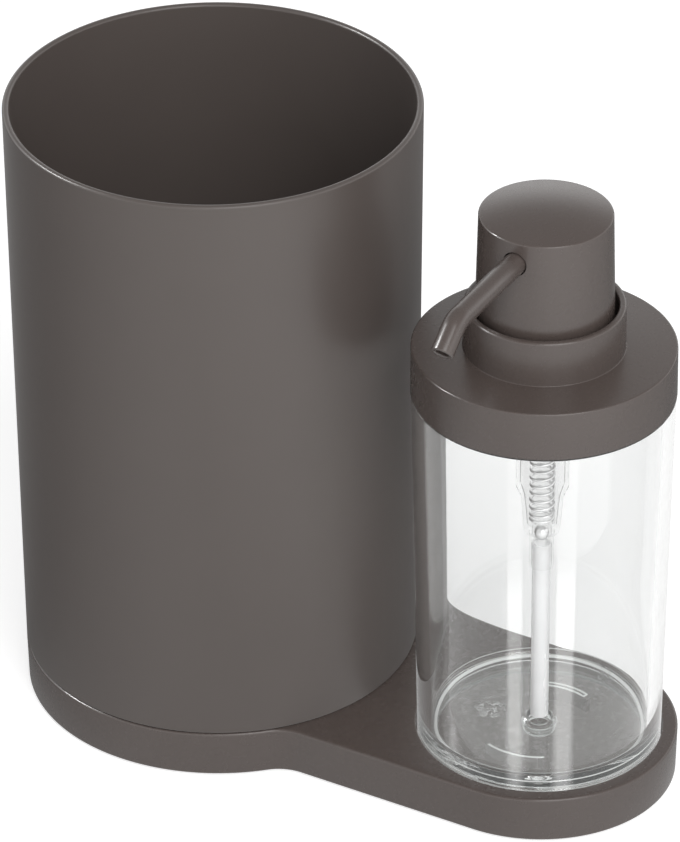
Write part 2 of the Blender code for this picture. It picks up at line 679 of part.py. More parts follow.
def build_housing_fixings():
    """The gasket above the well's floor, the ring nut below it and the chaplet on the housing."""
    turned("housing_gasket", [Vector(point) for point in (
        (FLANGE_R, GASKET_Z + GASKET_T), (FLANGE_R, GASKET_Z), (PIPE_HOLE_R, GASKET_Z),
        (PIPE_HOLE_R, GASKET_Z + GASKET_T))], lid_axis, rubber, SMALL_SEGMENTS, closed=True)

    nut_top = WELL_Z - LID_T - SEAT_GAP
    nut = prism("pump_nut", arc_points(0, 0, NUT_R, 0, 2 * math.pi, NUT_SIDES)[:-1], nut_top - NUT_T, nut_top,
                lid_axis, taupe)
    bevel = nut.modifiers.new("Edge", "BEVEL")
    bevel.width = NUT_EDGE_R
    bevel.segments = 1
    bevel.limit_method = "ANGLE"
    boolean(nut, rod_cutter("nut_bore", PIPE_HOLE_R, nut_top - NUT_T - OVERRUN, nut_top + OVERRUN,
                            lid_axis))

    cap_in_r = HOUSING_R + FIT_GAP
    cap_r = cap_in_r + CHAPLET_WALL
    sleeve_r = BORE_R - FIT_GAP
    guide_r = STEM_R + FIT_GAP
    cap_under = CHAPLET_TOP_Z - CHAPLET_T
    turned("chaplet", rounded([
        (cap_r, CHAPLET_TOP_Z, CHAPLET_EDGE_R),
        (cap_r, FLANGE_TOP_Z + SEAT_GAP, 0),
        (cap_in_r, FLANGE_TOP_Z + SEAT_GAP, 0),
        (cap_in_r, cap_under, 0),
        (sleeve_r, cap_under, 0),
        (sleeve_r, SLEEVE_FOOT_Z, 0),
        (guide_r, SLEEVE_FOOT_Z, 0),
        (guide_r, CHAPLET_TOP_Z, 0)], closed=True), lid_axis, milky, SMALL_SEGMENTS, closed=True)


def build_dip_tube():
    return turned("dip_tube", [Vector(point) for point in (
        (TUBE_R, TUBE_TOP_Z), (TUBE_R, TUBE_FOOT_Z), (TUBE_BORE_R, TUBE_FOOT_Z),
        (TUBE_BORE_R, TUBE_TOP_Z))], lid_axis, milky, SMALL_SEGMENTS, closed=True)


def build_ball():
    """The ball stands on its conical seat, a hair clear of it."""
    slope = math.atan2(VALVE_SEAT_H, CHAMBER_R - VALVE_BORE_R)
    rise = (BALL_R + BALL_EASE - VALVE_BORE_R * math.sin(slope)) / math.cos(slope)
    mesh = bpy.data.meshes.new("inlet_ball")
    bm = bmesh.new()
    bmesh.ops.create_uvsphere(bm, u_segments=TINY_SEGMENTS, v_segments=TINY_SEGMENTS // 2,
                              radius=BALL_R)
    bm.to_mesh(mesh)
    bm.free()
    ball = add_object("inlet_ball", mesh, lid_axis, steel)
    ball.location = (0, 0, VALVE_BORE_Z + rise)
    return smooth(ball)


def build_spring():
    """One unbroken coil of wire, with closer turns at both ends."""
    bottom = SPRING_SEAT_Z + SEAT_GAP + WIRE_R
    height = PLUG_FLANGE_Z - SEAT_GAP - WIRE_R - bottom
    count = SPRING_TURNS * SPRING_TURN_POINTS
    turns = (np.arange(count) + 1 / 2) / SPRING_TURN_POINTS
    to_end = np.minimum(turns, SPRING_TURNS - turns)
    open_share = np.clip(to_end - SPRING_END_TURNS + 1 / 2, 0, 1)
    closed_step = SPRING_END_PITCH / SPRING_TURN_POINTS
    open_step = (height - closed_step * count) / open_share.sum()
    rises = np.concatenate([[0], np.cumsum(closed_step + open_step * open_share)])
    angles = 2 * math.pi * np.arange(count + 1) / SPRING_TURN_POINTS
    path = np.stack([SPRING_R * np.cos(angles), SPRING_R * np.sin(angles), bottom + rises], axis=1)
    apart = SPRING_TURN_POINTS // 2
    gaps = [np.linalg.norm(path[i + apart:] - path[i], axis=1).min() - 2 * WIRE_R
            for i in range(len(path) - apart)]
    print(f"spring: least gap to itself {min(gaps) * MM:.2f} mm, wanted {LEAST_SPRING_GAP * MM} mm")
    return curve_tube("spring", path, WIRE_R, lid_axis, steel, WIRE_ROUNDNESS)


def build_piston():
    """The sliding seal: a band between the stem's shoulder and the plug's flange, with two lips."""
    inner = STEM_R + FIT_GAP
    lip = BORE_R - FIT_GAP
    band = lip - PISTON_LIP
    return turned("piston", [Vector(point) for point in (
        (lip, PISTON_TOP_Z), (lip, PISTON_TOP_Z - PISTON_LIP_H / 2),
        (band, PISTON_TOP_Z - PISTON_LIP_H), (band, PISTON_Z + PISTON_LIP_H),
        (lip, PISTON_Z + PISTON_LIP_H / 2), (lip, PISTON_Z), (inner, PISTON_Z),
        (inner, PISTON_TOP_Z))], piston_axis, milky, SMALL_SEGMENTS, closed=True)


def build_stem():
    shoulder_under = STEM_SHOULDER_Z - STEM_SHOULDER_T
    foot = shoulder_under - STEM_TAIL
    return turned("stem", [Vector(point) for point in (
        (STEM_R, STEM_TOP_Z), (STEM_R, STEM_SHOULDER_Z), (STEM_SHOULDER_R, STEM_SHOULDER_Z),
        (STEM_SHOULDER_R, shoulder_under), (STEM_R, shoulder_under), (STEM_R, foot),
        (STEM_BORE_R, foot), (STEM_BORE_R, STEM_TOP_Z))], head_axis, milky, SMALL_SEGMENTS,
        closed=True)


def build_valve_plug():
    """The stem's lower end: a rod in the stem's bore, a flange under the piston and a spring spigot."""
    top = PLUG_FLANGE_Z + PLUG_FLANGE_T
    return turned("valve_plug", [Vector(point) for point in (
        (0, top + PLUG_ROD_L), (PLUG_ROD_R, top + PLUG_ROD_L), (PLUG_ROD_R, top),
        (PLUG_FLANGE_R, top), (PLUG_FLANGE_R, PLUG_FLANGE_Z), (SPIGOT_R, PLUG_FLANGE_Z),
        (SPIGOT_R, PLUG_FLANGE_Z - SPIGOT_L), (0, PLUG_FLANGE_Z - SPIGOT_L))], head_axis, milky,
        SMALL_SEGMENTS)


def build_core():
    """The head's inner part: a socket on the stem, a channel and the arm that holds the spout."""
    disc_z = CORE_TOP_Z - CORE_DISC_T
    disc_r = head_r(CORE_TOP_Z) - HEAD_WALL - FIT_GAP
    socket_r = STEM_R + FIT_GAP
    socket_top = STEM_TOP_Z + SEAT_GAP
    core = turned("actuator_core", [Vector(point) for point in (
        (0, CORE_TOP_Z), (disc_r, CORE_TOP_Z), (disc_r, disc_z), (CORE_R, disc_z),
        (CORE_R, CORE_FOOT_Z), (socket_r, CORE_FOOT_Z), (socket_r, socket_top),
        (CORE_CHANNEL_R, socket_top), (CORE_CHANNEL_R, SPOUT_Z), (0, SPOUT_Z))], head_axis, taupe,
        CORE_SEGMENTS)
    arm_end = head_r(SPOUT_Z) - HEAD_WALL - CORE_ARM_SPARE
    boolean(core, side_cutter("core_arm", CORE_ARM_R, CORE_R / 2, arm_end, SPOUT_Z, head_axis), "UNION")
    boolean(core, side_cutter("arm_bore", SPOUT_R + FIT_GAP, SPOUT_ROOT - SEAT_GAP, arm_end + OVERRUN,
                              SPOUT_Z, head_axis))
    boolean(core, side_cutter("arm_channel", CORE_CHANNEL_R, 0, SPOUT_ROOT, SPOUT_Z, head_axis))
    return core


def build_head_shell():
    foot_in_r = HEAD_FOOT_R - HEAD_WALL
    roof_in_r = head_r(HEAD_ROOF_Z) - HEAD_WALL
    dome = [(HEAD_TOP_R * step / DOME_STEPS,
             HEAD_TOP_Z + HEAD_DOME * (1 - (step / DOME_STEPS) ** 2), 0) for step in range(DOME_STEPS)]
    shell = turned("head_shell", rounded(dome + [
        (HEAD_TOP_R, HEAD_TOP_Z, HEAD_EDGE_R),
        (HEAD_FOOT_R, HEAD_FOOT_Z, 0),
        (foot_in_r, HEAD_FOOT_Z, 0),
        (roof_in_r, HEAD_ROOF_Z, 0),
        (0, HEAD_ROOF_Z, 0)]), head_axis, taupe, HEAD_SEGMENTS)
    hole_r = SPOUT_R + SPOUT_HOLE_CLEAR
    return boolean(shell, side_cutter("spout_hole", hole_r, head_r(SPOUT_Z) - HEAD_WALL - OVERRUN,
                                      head_r(SPOUT_Z) + OVERRUN, SPOUT_Z, head_axis))


def spout_path(spare):
    """The middle of the tube: out along -Y, round the bend and down; spare lengthens both ends."""
    tangent = SPOUT_BEND_R * math.tan(SPOUT_DROOP / 2)
    path = [(0, -SPOUT_ROOT + spare, SPOUT_Z)]
    for step in range(SPOUT_BEND_STEPS + 1):
        angle = SPOUT_DROOP * step / SPOUT_BEND_STEPS
        path.append((0, -SPOUT_CORNER + tangent - SPOUT_BEND_R * math.sin(angle),
                     SPOUT_Z - SPOUT_BEND_R * (1 - math.cos(angle))))
    length = SPOUT_TIP_L + spare
    path.append((0, -SPOUT_CORNER - length * math.cos(SPOUT_DROOP),
                 SPOUT_Z - length * math.sin(SPOUT_DROOP)))
    return path


def build_spout():
    spout = as_mesh(curve_tube("spout", spout_path(0), SPOUT_R, head_axis, None, SPOUT_ROUNDNESS),
                    taupe)
    bore = as_mesh(curve_tube("spout_bore", spout_path(OVERRUN), SPOUT_BORE_R, head_axis, None,
                              SPOUT_ROUNDNESS))
    return smooth(boolean(spout, bore))


clear_scene()
parts = new_collection("bathroom_organizer")
cutters = new_collection("cutters")
taupe = finish("taupe_plastic", (0.127, 0.112, 0.102), 0.38)
clear = finish("clear_plastic", (0.93, 0.96, 0.95), 0.03, transmission=1.0)
milky = finish("milky_plastic", (0.78, 0.78, 0.78), 0.35, transmission=0.6)
rubber = finish("grey_rubber", (0.22, 0.21, 0.20), 0.8)
steel = finish("spring_steel", (0.62, 0.62, 0.62), 0.25, metallic=1.0)

tray_root = axis_empty("tray_root", 0, AXIS_Y)
cup_axis = axis_empty("cup_axis", CUP_X, AXIS_Y)
bottle_axis = axis_empty("bottle_axis", BOTTLE_X, AXIS_Y)
lid_axis = axis_empty("lid_axis", BOTTLE_X, AXIS_Y)
piston_axis = axis_empty("piston_axis", BOTTLE_X, AXIS_Y)
head_axis = axis_empty("head_axis", BOTTLE_X, AXIS_Y)

build_tray()
build_pads()
build_cup()
build_bottle()
build_lid()
build_lid_seal()
build_housing()
build_housing_fixings()
build_dip_tube()
build_ball()
build_spring()
build_piston()
build_stem()
build_valve_plug()
build_core()
build_head_shell()
build_spout()
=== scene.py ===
"""The bathroom organizer's looks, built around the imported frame. Metres, +Z up."""

import math

import bmesh
import bpy
from mathutils import Matrix, Vector


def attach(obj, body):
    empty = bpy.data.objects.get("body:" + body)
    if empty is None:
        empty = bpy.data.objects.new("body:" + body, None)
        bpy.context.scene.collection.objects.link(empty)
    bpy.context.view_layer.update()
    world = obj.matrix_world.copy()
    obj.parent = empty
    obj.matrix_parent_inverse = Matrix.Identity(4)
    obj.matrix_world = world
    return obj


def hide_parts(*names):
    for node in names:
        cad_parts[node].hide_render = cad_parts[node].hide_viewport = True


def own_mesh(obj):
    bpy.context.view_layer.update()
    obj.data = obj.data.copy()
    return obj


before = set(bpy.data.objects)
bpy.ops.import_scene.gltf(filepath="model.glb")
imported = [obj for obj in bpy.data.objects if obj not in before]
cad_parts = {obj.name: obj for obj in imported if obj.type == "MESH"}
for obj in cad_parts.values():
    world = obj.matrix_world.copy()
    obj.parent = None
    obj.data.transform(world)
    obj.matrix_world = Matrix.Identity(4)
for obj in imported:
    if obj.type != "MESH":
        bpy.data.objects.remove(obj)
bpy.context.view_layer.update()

# Clearances and shared sizes
SEAT_GAP = 0.0003            # between faces that rest on each other
FIT_GAP = 0.0003             # around a piece that sits in another
OVERRUN = 0.002              # how far a cutter passes the face that it cuts
AXIS_SPACING = 0.0990        # from the cup's axis to the dispenser's
WELD = 1e-6                  # points this close become one

# Tray
FOOT_STAND = 0.0006          # the pads lift the tray's rim off the surface
TRAY_H = 0.0132
TRAY_DRAFT = 0.0003          # how far the sides draw in towards the foot
TRAY_EDGE_R = 0.0008
TRAY_FOOT_EDGE_R = 0.0003
TRAY_WALL = 0.0020
TRAY_MARGIN = 0.0045         # tray left around the bottle
BRIDGE_FILLET = 0.0120       # where the bottle's end runs into the cup's
BRIDGE_TAPER = math.radians(1.1)   # how far each side leans in towards the cup's end
RIB_PITCH = 0.0170
RIB_T = 0.0014
RIB_LIFT = 0.0020            # the ribs stop this far above the tray's rim
RECESS_DEPTH = 0.0050
RECESS_CLEAR = 0.0004
PLATEAU_H = 0.0022           # the cup drops over it
PLATEAU_EDGE_R = 0.0006
SEAT_RIB_R = 0.0173          # the arc ribs under the bottle
SEAT_RIB_T = 0.0014
SEAT_RIB_SPAN = math.radians(52)

# Foot pads
PAD_R = 0.0060
PAD_T = 0.0016
PAD_EDGE_R = 0.0005
PAD_BOSS_R = 0.0067
CUP_PAD_MARGIN = 0.0141      # from the tray's outline to a pad's middle
CUP_PAD_TURNS = (math.radians(90), math.radians(180), math.radians(270))
BOTTLE_PAD_MARGIN = 0.0138
BOTTLE_PAD_TURNS = (math.radians(-50), math.radians(50))

# Cup
CUP_FOOT_R = 0.0541
CUP_RIM_R = 0.0557
CUP_H = 0.1653
CUP_WALL = 0.0019
CUP_FLOOR_T = 0.0025
CUP_FOOT_W = 0.0036
CUP_FLOOR_R = 0.0030
CUP_EDGE_R = 0.0004

# Bottle
BOTTLE_FOOT_R = 0.03296
BOTTLE_SHOULDER_R = 0.03497
BOTTLE_BODY_H = 0.1098
BOTTLE_WALL = 0.0034
BOTTLE_HEEL_R = 0.0012
BOTTLE_FLOOR_T = 0.0020
PUNT_H = 0.0041              # the floor stands this far above the foot ring
RIM_EDGE_R = 0.0005
SUMP_R = 0.00385
SUMP_WALL = 0.0008
SUMP_LIFT = 0.0003

# Lid
LID_FOOT_R = 0.03510
LID_TOP_R = 0.03500
LID_H = 0.0139
LID_T = 0.0020
LID_WALL = 0.0016
LID_EDGE_R = 0.0005
LID_FOOT_EDGE_R = 0.0003
COLLAR_R = 0.02135
COLLAR_FOOT_R = 0.02140
COLLAR_H = 0.01295
COLLAR_WALL = 0.0020
COLLAR_EDGE_R = 0.0008
COLLAR_FILLET = 0.0002
PLUG_DEPTH = 0.0097          # the lid's inner wall, which holds the seal
PLUG_WALL = 0.0016
SEAL_BEAD_H = 0.0012
SEAL_BEAD_OUT = 0.0010

# Lid seal
SEAL_T = 0.0018

# Pump head
STROKE = 0.0120
HEAD_LAP = 0.0050            # the head's skirt reaches this far into the collar at rest
WELL_SPARE = 0.0016
HEAD_FOOT_R = 0.01838
HEAD_TOP_R = 0.01759
HEAD_H = 0.0316              # skirt foot to the top edge
HEAD_DOME = 0.0023
HEAD_WALL = 0.0020
HEAD_CAP_T = 0.0018          # at the top edge, and thicker under the dome
HEAD_EDGE_R = 0.0009

# Spout
SPOUT_R = 0.00305
SPOUT_BORE_R = 0.0018
SPOUT_CORNER = 0.0498        # from the pump's axis to where the tube turns down
SPOUT_TIP_L = 0.0094
SPOUT_DROOP = math.radians(38)
SPOUT_BEND_R = 0.0070
SPOUT_HOLE_CLEAR = 0.0003
SPOUT_ROOT = 0.0060          # from the pump's axis to the tube's inner end

# Actuator core, inside the head
CORE_ARM_WALL = 0.0007

# Stem, piston and valve plug
STEM_SHOULDER_T = 0.0015
PISTON_H = 0.0070
PLUG_FLANGE_T = 0.0012

# Pump housing
HOUSING_R = 0.0070
HOUSING_WALL = 0.0012
FLANGE_R = 0.0103
FLANGE_T = 0.0015
HOUSING_NECK_H = 0.0027      # above the flange
BARREL_H = 0.03815           # below the flange
SHOULDER_H = 0.0033
LOWER_TOP_R = 0.00565
LOWER_FOOT_R = 0.0048
LOWER_H = 0.0110
LOWER_WALL = 0.00115
SOCKET_R = 0.00325
SOCKET_H = 0.0111
CHAMBER_DROP = 0.0012        # the ball's chamber starts this far below the lower barrel's foot
CHAMBER_R = 0.0025           # around the ball
CHAMBER_H = 0.0028
CHAMBER_LIP_R = 0.00175      # keeps the ball down
CHAMBER_LIP_H = 0.0008
VALVE_SEAT_H = 0.0012
VALVE_BORE_R = 0.0012
VALVE_BORE_H = 0.0014

# Housing gasket and chaplet
GASKET_T = 0.0008
CHAPLET_T = 0.0012
SLEEVE_L = 0.0120            # the chaplet's guide sleeve, measured from the chaplet's top

# Dip tube
TUBE_R = 0.00245
TUBE_BORE_R = 0.0019
TUBE_FIT = 0.0002            # around the tube in its socket
TUBE_END_LIFT = 0.0018       # the tube stops this far above the bottle's floor

# Spring
WIRE_R = 0.0004
SPRING_R = 0.00305           # to the middle of the wire
SPRING_TURNS = 15
SPRING_END_TURNS = 1.5
SPRING_END_PITCH = 0.0013

# Facets
TRAY_CUP_STEPS = 168         # around the tray's round ends, and in the fillets between them
TRAY_END_STEPS = 80
TRAY_FILLET_STEPS = 16
CORNER_SHARE = 0.48          # most of an edge that one rounded corner takes

# Levels, from the surface up
TRAY_TOP_Z = FOOT_STAND + TRAY_H
RECESS_Z = TRAY_TOP_Z - RECESS_DEPTH
PLATEAU_Z = TRAY_TOP_Z + PLATEAU_H
CUP_Z = TRAY_TOP_Z + SEAT_GAP
CUP_TOP_Z = CUP_Z + CUP_H
BOTTLE_Z = RECESS_Z + SEAT_GAP
SHOULDER_Z = BOTTLE_Z + BOTTLE_BODY_H
FLOOR_UNDER_Z = BOTTLE_Z + PUNT_H
FLOOR_Z = FLOOR_UNDER_Z + BOTTLE_FLOOR_T
SUMP_Z = BOTTLE_Z + SUMP_LIFT
LID_Z = SHOULDER_Z + SEAT_GAP
LID_TOP_Z = LID_Z + LID_H
LID_UNDER_Z = LID_TOP_Z - LID_T
RIM_Z = LID_UNDER_Z - SEAT_GAP
COLLAR_TOP_Z = LID_TOP_Z + COLLAR_H
WELL_Z = COLLAR_TOP_Z - HEAD_LAP - STROKE - WELL_SPARE
HEAD_FOOT_Z = COLLAR_TOP_Z - HEAD_LAP
HEAD_TOP_Z = HEAD_FOOT_Z + HEAD_H
HEAD_ROOF_Z = HEAD_TOP_Z - HEAD_CAP_T
GASKET_Z = WELL_Z + SEAT_GAP
FLANGE_Z = GASKET_Z + GASKET_T + SEAT_GAP
FLANGE_TOP_Z = FLANGE_Z + FLANGE_T
NECK_TOP_Z = FLANGE_TOP_Z + HOUSING_NECK_H
CHAPLET_TOP_Z = NECK_TOP_Z + SEAT_GAP + CHAPLET_T
SLEEVE_FOOT_Z = CHAPLET_TOP_Z - SLEEVE_L
STEM_SHOULDER_Z = SLEEVE_FOOT_Z - SEAT_GAP
PISTON_TOP_Z = STEM_SHOULDER_Z - STEM_SHOULDER_T - SEAT_GAP
PISTON_Z = PISTON_TOP_Z - PISTON_H
PLUG_FLANGE_Z = PISTON_Z - SEAT_GAP - PLUG_FLANGE_T
CORE_TOP_Z = HEAD_ROOF_Z - SEAT_GAP
CORE_ARM_R = SPOUT_R + FIT_GAP + CORE_ARM_WALL
SPOUT_Z = CORE_TOP_Z - CORE_ARM_R
BARREL_FOOT_Z = FLANGE_Z - BARREL_H
LOWER_TOP_Z = BARREL_FOOT_Z - SHOULDER_H
LOWER_FOOT_Z = LOWER_TOP_Z - LOWER_H
SOCKET_FOOT_Z = LOWER_FOOT_Z - SOCKET_H
CHAMBER_Z = LOWER_FOOT_Z - CHAMBER_DROP
CHAMBER_TOP_Z = CHAMBER_Z + CHAMBER_H
SPRING_SEAT_Z = CHAMBER_TOP_Z + CHAMBER_LIP_H
VALVE_BORE_Z = CHAMBER_Z - VALVE_SEAT_H
TUBE_TOP_Z = VALVE_BORE_Z - VALVE_BORE_H - SEAT_GAP
TUBE_FOOT_Z = FLOOR_Z + TUBE_END_LIFT

# Radii that follow from what a piece fits
PLATEAU_R = CUP_FOOT_R - CUP_FOOT_W - FIT_GAP
WELL_R = COLLAR_R - COLLAR_WALL
SKIRT_IN_R = LID_FOOT_R - LID_WALL
REBATE_R = SKIRT_IN_R - FIT_GAP
BORE_R = HOUSING_R - HOUSING_WALL
PIPE_HOLE_R = HOUSING_R + FIT_GAP
MOUTH_R = BOTTLE_SHOULDER_R - BOTTLE_WALL
LID_PLUG_R = MOUTH_R - FIT_GAP - SEAL_T - FIT_GAP

# Detail that only the shown pieces have
RING = 192                   # facets of a large round piece
CUP_RING = 256
SMALL_RING = 64
SEAT_RIB_ARC_STEPS = 32
GROOVE_ARC_STEPS = 24
DOME_ARC_STEPS = 20
SOFT_R = 0.0004              # edges that are only just rounded
SUMP_SOFT_R = 0.0008
WIRE_RING = 12
ARC_STEPS = 8                # in each rounded corner
QUARTER_TURN = [math.pi / 2 * step / ARC_STEPS for step in range(ARC_STEPS + 1)]
SPRING_RING_POINTS = 48
TUBE_RING = 48
BEND_STEPS = 20
RECESS_EDGE_R = 0.0003
SPOUT_LIP_R = 0.0004
SMOOTH_TURN = math.radians(30)
SHOWN_FLOOR_RISE = 0.0012    # the bottle's floor is a little thicker than the solid's
SHOWN_FLOOR_Z = FLOOR_Z + SHOWN_FLOOR_RISE
SHOWN_FLOOR_R = 0.0024
SHOWN_FLARE_R = 0.0014
SUMP_SWELL = 0.0007
SUMP_ROUND = 0.0026
GROOVE_R = 0.0004            # the lines moulded into the bottle's underside
GROOVE_RING_R = 0.0173
GROOVE_GAP = 0.0014
GROOVE_TURN = math.radians(5.6)

# Colours, with roughness and gloss or clearness
TAUPE = (0.077, 0.0608, 0.0547)
TAUPE_GLOSS = (0.27, 0.72)             # roughness and specular level
CUP_TAUPE_LIT = (0.083, 0.0692, 0.0632)    # a lighter copy of the taupe for the more matt cup: painted light, making up for the gloss it lacks
CUP_GLOSS = (0.36, 0.60)
CLEAR = (0.992, 0.997, 0.995)
CLEAR_THICK = (0.955, 0.985, 0.972)    # in the bottle's thick floor
CLEAR_TINT = (0.985, 0.988, 0.987)     # what passes straight through one wall
CLEAR_IOR = 1.51
CLEAR_FLOOR = 0.992                    # the bottle's thick floor is a little cloudy
HAZE_START, HAZE_END = 0.001, 0.003    # where the cloudiness fades, above the floor
CLEAR_EDGE = 0.95
EDGE_BLEND, EDGE_RANGE = 0.5, (0.30, 0.75)
HIGHLIGHT_BAND_CLEAR = 0.38                      # less clear, so whiter: painted highlight lines where the floor meets the wall and its ridges
LINE_Z = (0.00004, 0.0001, 0.0004, 0.0006)
MILKY = (0.99, 0.99, 0.99)
MILKY_SHARES = (0.93, 0.08)            # how clear, and how rough
MILKY_TUBE = (0.92, 0.92, 0.925)
MILKY_TUBE_SHARES = (0.35, 0.15)
MILKY_TINT = (0.97, 0.97, 0.97)
MILKY_IOR = 1.02                       # low, since a thin moulding hardly bends the light
RUBBER, RUBBER_ROUGH = (0.22, 0.21, 0.20), 0.72
SEAL, SEAL_ROUGH = (0.55, 0.55, 0.54), 0.5
RUBBER_SPECULAR = 0.35
STEEL = (0.93, 0.93, 0.93)

# Textures: features per metre, detail and, where it isn't 0.5, roughness
NOISE_LOW, NOISE_HIGH = 0.3, 0.7       # nearly all of a noise's values lie between
PLASTIC_MOTTLE = (55.0, 3.0)
PLASTIC_PATCHES = (420.0, 2.0)
PLASTIC_GRAIN = (3400.0, 2.0, 0.6)
PLASTIC_WAVES = (24.0, 1.0)
CLEAR_STREAKS = ((260.0, 260.0, 9.0), 2.0)
CLEAR_RIPPLES = (48.0, 2.0)
CLEAR_SCUFFS = (150.0, 3.0)
CLEAR_FLAWS, FLAW_RANGE = (520.0, 3.0), (0.5, 0.6)
FLAW_SPOTS = ((0.0450, -0.0008, 0.0164, 0.0056), (0.0654, 0.0276, 0.0164, 0.0034),
              (0.0686, 0.0207, 0.0164, 0.0018))      # middles and radii, in the bottle's floor
MILKY_CLOUD = ((300.0, 300.0, 60.0), 3.0)
MILKY_FINE = (1400.0, 2.0)
STEEL_LINES = ((600.0, 600.0, 5200.0), 2.0)
STEEL_STAIN = (500.0, 3.0)
RUBBER_DUST = (260.0, 4.0, 0.6)
RUBBER_PITS = (2600.0, 3.0, 0.6)

# What the textures do: shares of the colour, changes of the roughness, bumps' distance and strength
PLASTIC_TONES = (0.985, 1.015)
PLASTIC_ROUGHNESS = (-0.006, 0.008)
PLASTIC_WAVE_BUMP, PLASTIC_GRAIN_BUMP = (0.0002, 0.03), (0.000002, 0.05)
CLEAR_TONES, THICK_TONES = (0.997, 1.0), (0.98, 1.0)
RIPPLE_BUMP, STREAK_BUMP, FLAW_BUMP = (0.0004, 0.06), (0.00003, 0.06), (0.0006, 1.0)
MILKY_TONES = (0.95, 1.04)
MILKY_CLOUD_BUMP, MILKY_FINE_BUMP = (0.00005, 0.3), (0.00001, 0.3)
STEEL_TONES, STEEL_ROUGHNESS, STEEL_BUMP = (0.92, 1.06), (0.30, 0.44), (0.00001, 0.4)
RUBBER_TONES, RUBBER_ROUGHNESS, RUBBER_BUMP = (0.86, 1.14), (-0.06, 0.1), (0.00003, 0.5)
MIX_FIRST, MIX_SECOND, MIX_RESULT = 6, 7, 2          # the sockets of a colour mix

# Camera, as fitted to the photograph's view
CAMERA_AZIMUTH = math.radians(29.025)
CAMERA_ELEVATION = math.radians(32.037)
CAMERA_ROLL = math.radians(0.325)
CAMERA_PLACE = (0.70303, -1.27003, 1.00124)
CAMERA_LENS = 273.05
CAMERA_SENSOR = 36
CAMERA_NEAR = 0.05

# Light
FLOOR_SIZE = 30.0
FLOOR_ALBEDO = 0.62
FLOOR_LIFT = 0.62            # added where the camera sees the floor
CLEAR_LIFT = 0.43            # and where it is seen through or in clear glass
FAR_LIFT = 0.4               # keeps the floor white where the lamps no longer reach it
FAR_START, FAR_END = 0.5, 1.6
LOBE_AZIMUTH = CAMERA_AZIMUTH + math.radians(19)
LOBE_MIDDLE = 0.5            # at both sides of the lights' axis
GLOSS_STOPS = ((0.0, 0.50), (0.067, 0.32), (0.25, 0.24), (0.37, 0.32), (0.5, 0.48), (0.63, 0.64),
               (0.75, 0.80), (0.854, 0.96), (0.983, 1.18), (1.0, 1.22))
GLOSS_NEAR, GLOSS_FAR = 0.06, 0.34     # distances from the object
GLOSS_SHARES = (0.86, 1.10)            # and the gloss at them
WORLD_STOPS = ((0.0, 1.5), (0.31, 1.5), (0.42, 0.86), (0.52, 0.48), (0.62, 0.36), (1.0, 0.34))
MATT_STOPS = ((0.0, 0.92), (0.31, 0.92), (0.42, 0.68), (0.52, 0.46), (0.62, 0.40), (0.86, 0.38),
              (0.94, 0.5), (1.0, 0.5))
CLEAR_SKY = 0.70             # what clear glass mirrors
WORLD_SIDE = 0.90            # share of the world's light that comes from the sides
STRIPS = ((-16.5, -9.8, 4.2), (6.0, 14.5, 5.0))      # turns on the bottle's wall, and brightness
STRIP_SOFT = 0.0025
STRIP_NEAR, STRIP_FAR = 0.13, 0.16     # from the bottle's axis, where the bands fade
STRIP_REST = 0.25
KEY_AZIMUTH = CAMERA_AZIMUTH + math.radians(20)
KEY_ELEVATION = math.radians(38)
KEY_DISTANCE = 1.7
KEY_SIZE = 1.0
KEY_POWER = 8.5
FILL_AZIMUTH = CAMERA_AZIMUTH + math.radians(15)
FILL_ELEVATION = math.radians(50)
FILL_POWER = 14.0
RIM_AZIMUTH = CAMERA_AZIMUTH - math.radians(98)
RIM_ELEVATION = math.radians(35)
RIM_DISTANCE = 1.5
RIM_SIZE = 0.12
RIM_POWER = 16.0


def slope_r(low_r, low_z, high_r, high_z, z):
    """The radius at height z of a cone that passes through two given rings."""
    return low_r + (high_r - low_r) * (z - low_z) / (high_z - low_z)


def bottle_r(z):
    return slope_r(BOTTLE_FOOT_R, BOTTLE_Z, BOTTLE_SHOULDER_R, SHOULDER_Z, z)


def head_r(z):
    return slope_r(HEAD_FOOT_R, HEAD_FOOT_Z, HEAD_TOP_R, HEAD_TOP_Z, z)


# Places in plan: the box's middle is at the origin
SPOUT_REACH = SPOUT_CORNER + SPOUT_TIP_L * math.cos(SPOUT_DROOP) + SPOUT_R * math.sin(SPOUT_DROOP)
TRAY_END_R = bottle_r(TRAY_TOP_Z) + TRAY_MARGIN
CUP_PAD_RING_R = CUP_FOOT_R - CUP_PAD_MARGIN
BOTTLE_PAD_RING_R = TRAY_END_R - BOTTLE_PAD_MARGIN
RECESS_R = bottle_r(TRAY_TOP_Z) + RECESS_CLEAR
BOTTLE_X = (AXIS_SPACING + CUP_RIM_R - TRAY_END_R) / 2
CUP_X = BOTTLE_X - AXIS_SPACING
AXIS_Y = (SPOUT_REACH - CUP_RIM_R) / 2

# Materials

def feed(tree, node, inputs):
    """Sets a node's sockets, each to a value or to the output that feeds it."""
    for key, value in inputs.items():
        if isinstance(value, bpy.types.NodeSocket):
            tree.links.new(value, node.inputs[key])
        else:
            node.inputs[key].default_value = value


def add(tree, kind, inputs=None, **settings):
    node = tree.nodes.new(kind)
    for key, value in settings.items():
        setattr(node, key, value)
    feed(tree, node, inputs or {})
    return node


def math_node(tree, operation, *values, clamp=False):
    return add(tree, "ShaderNodeMath", dict(enumerate(values)), operation=operation,
               use_clamp=clamp).outputs[0]


def vector_math(tree, operation, *values, output="Value"):
    return add(tree, "ShaderNodeVectorMath", dict(enumerate(values)),
               operation=operation).outputs[output]


def mix_colours(tree, share, first, second, blend="MIX"):
    return add(tree, "ShaderNodeMix", {"Factor": share, MIX_FIRST: first, MIX_SECOND: second},
               data_type="RGBA", blend_type=blend).outputs[MIX_RESULT]


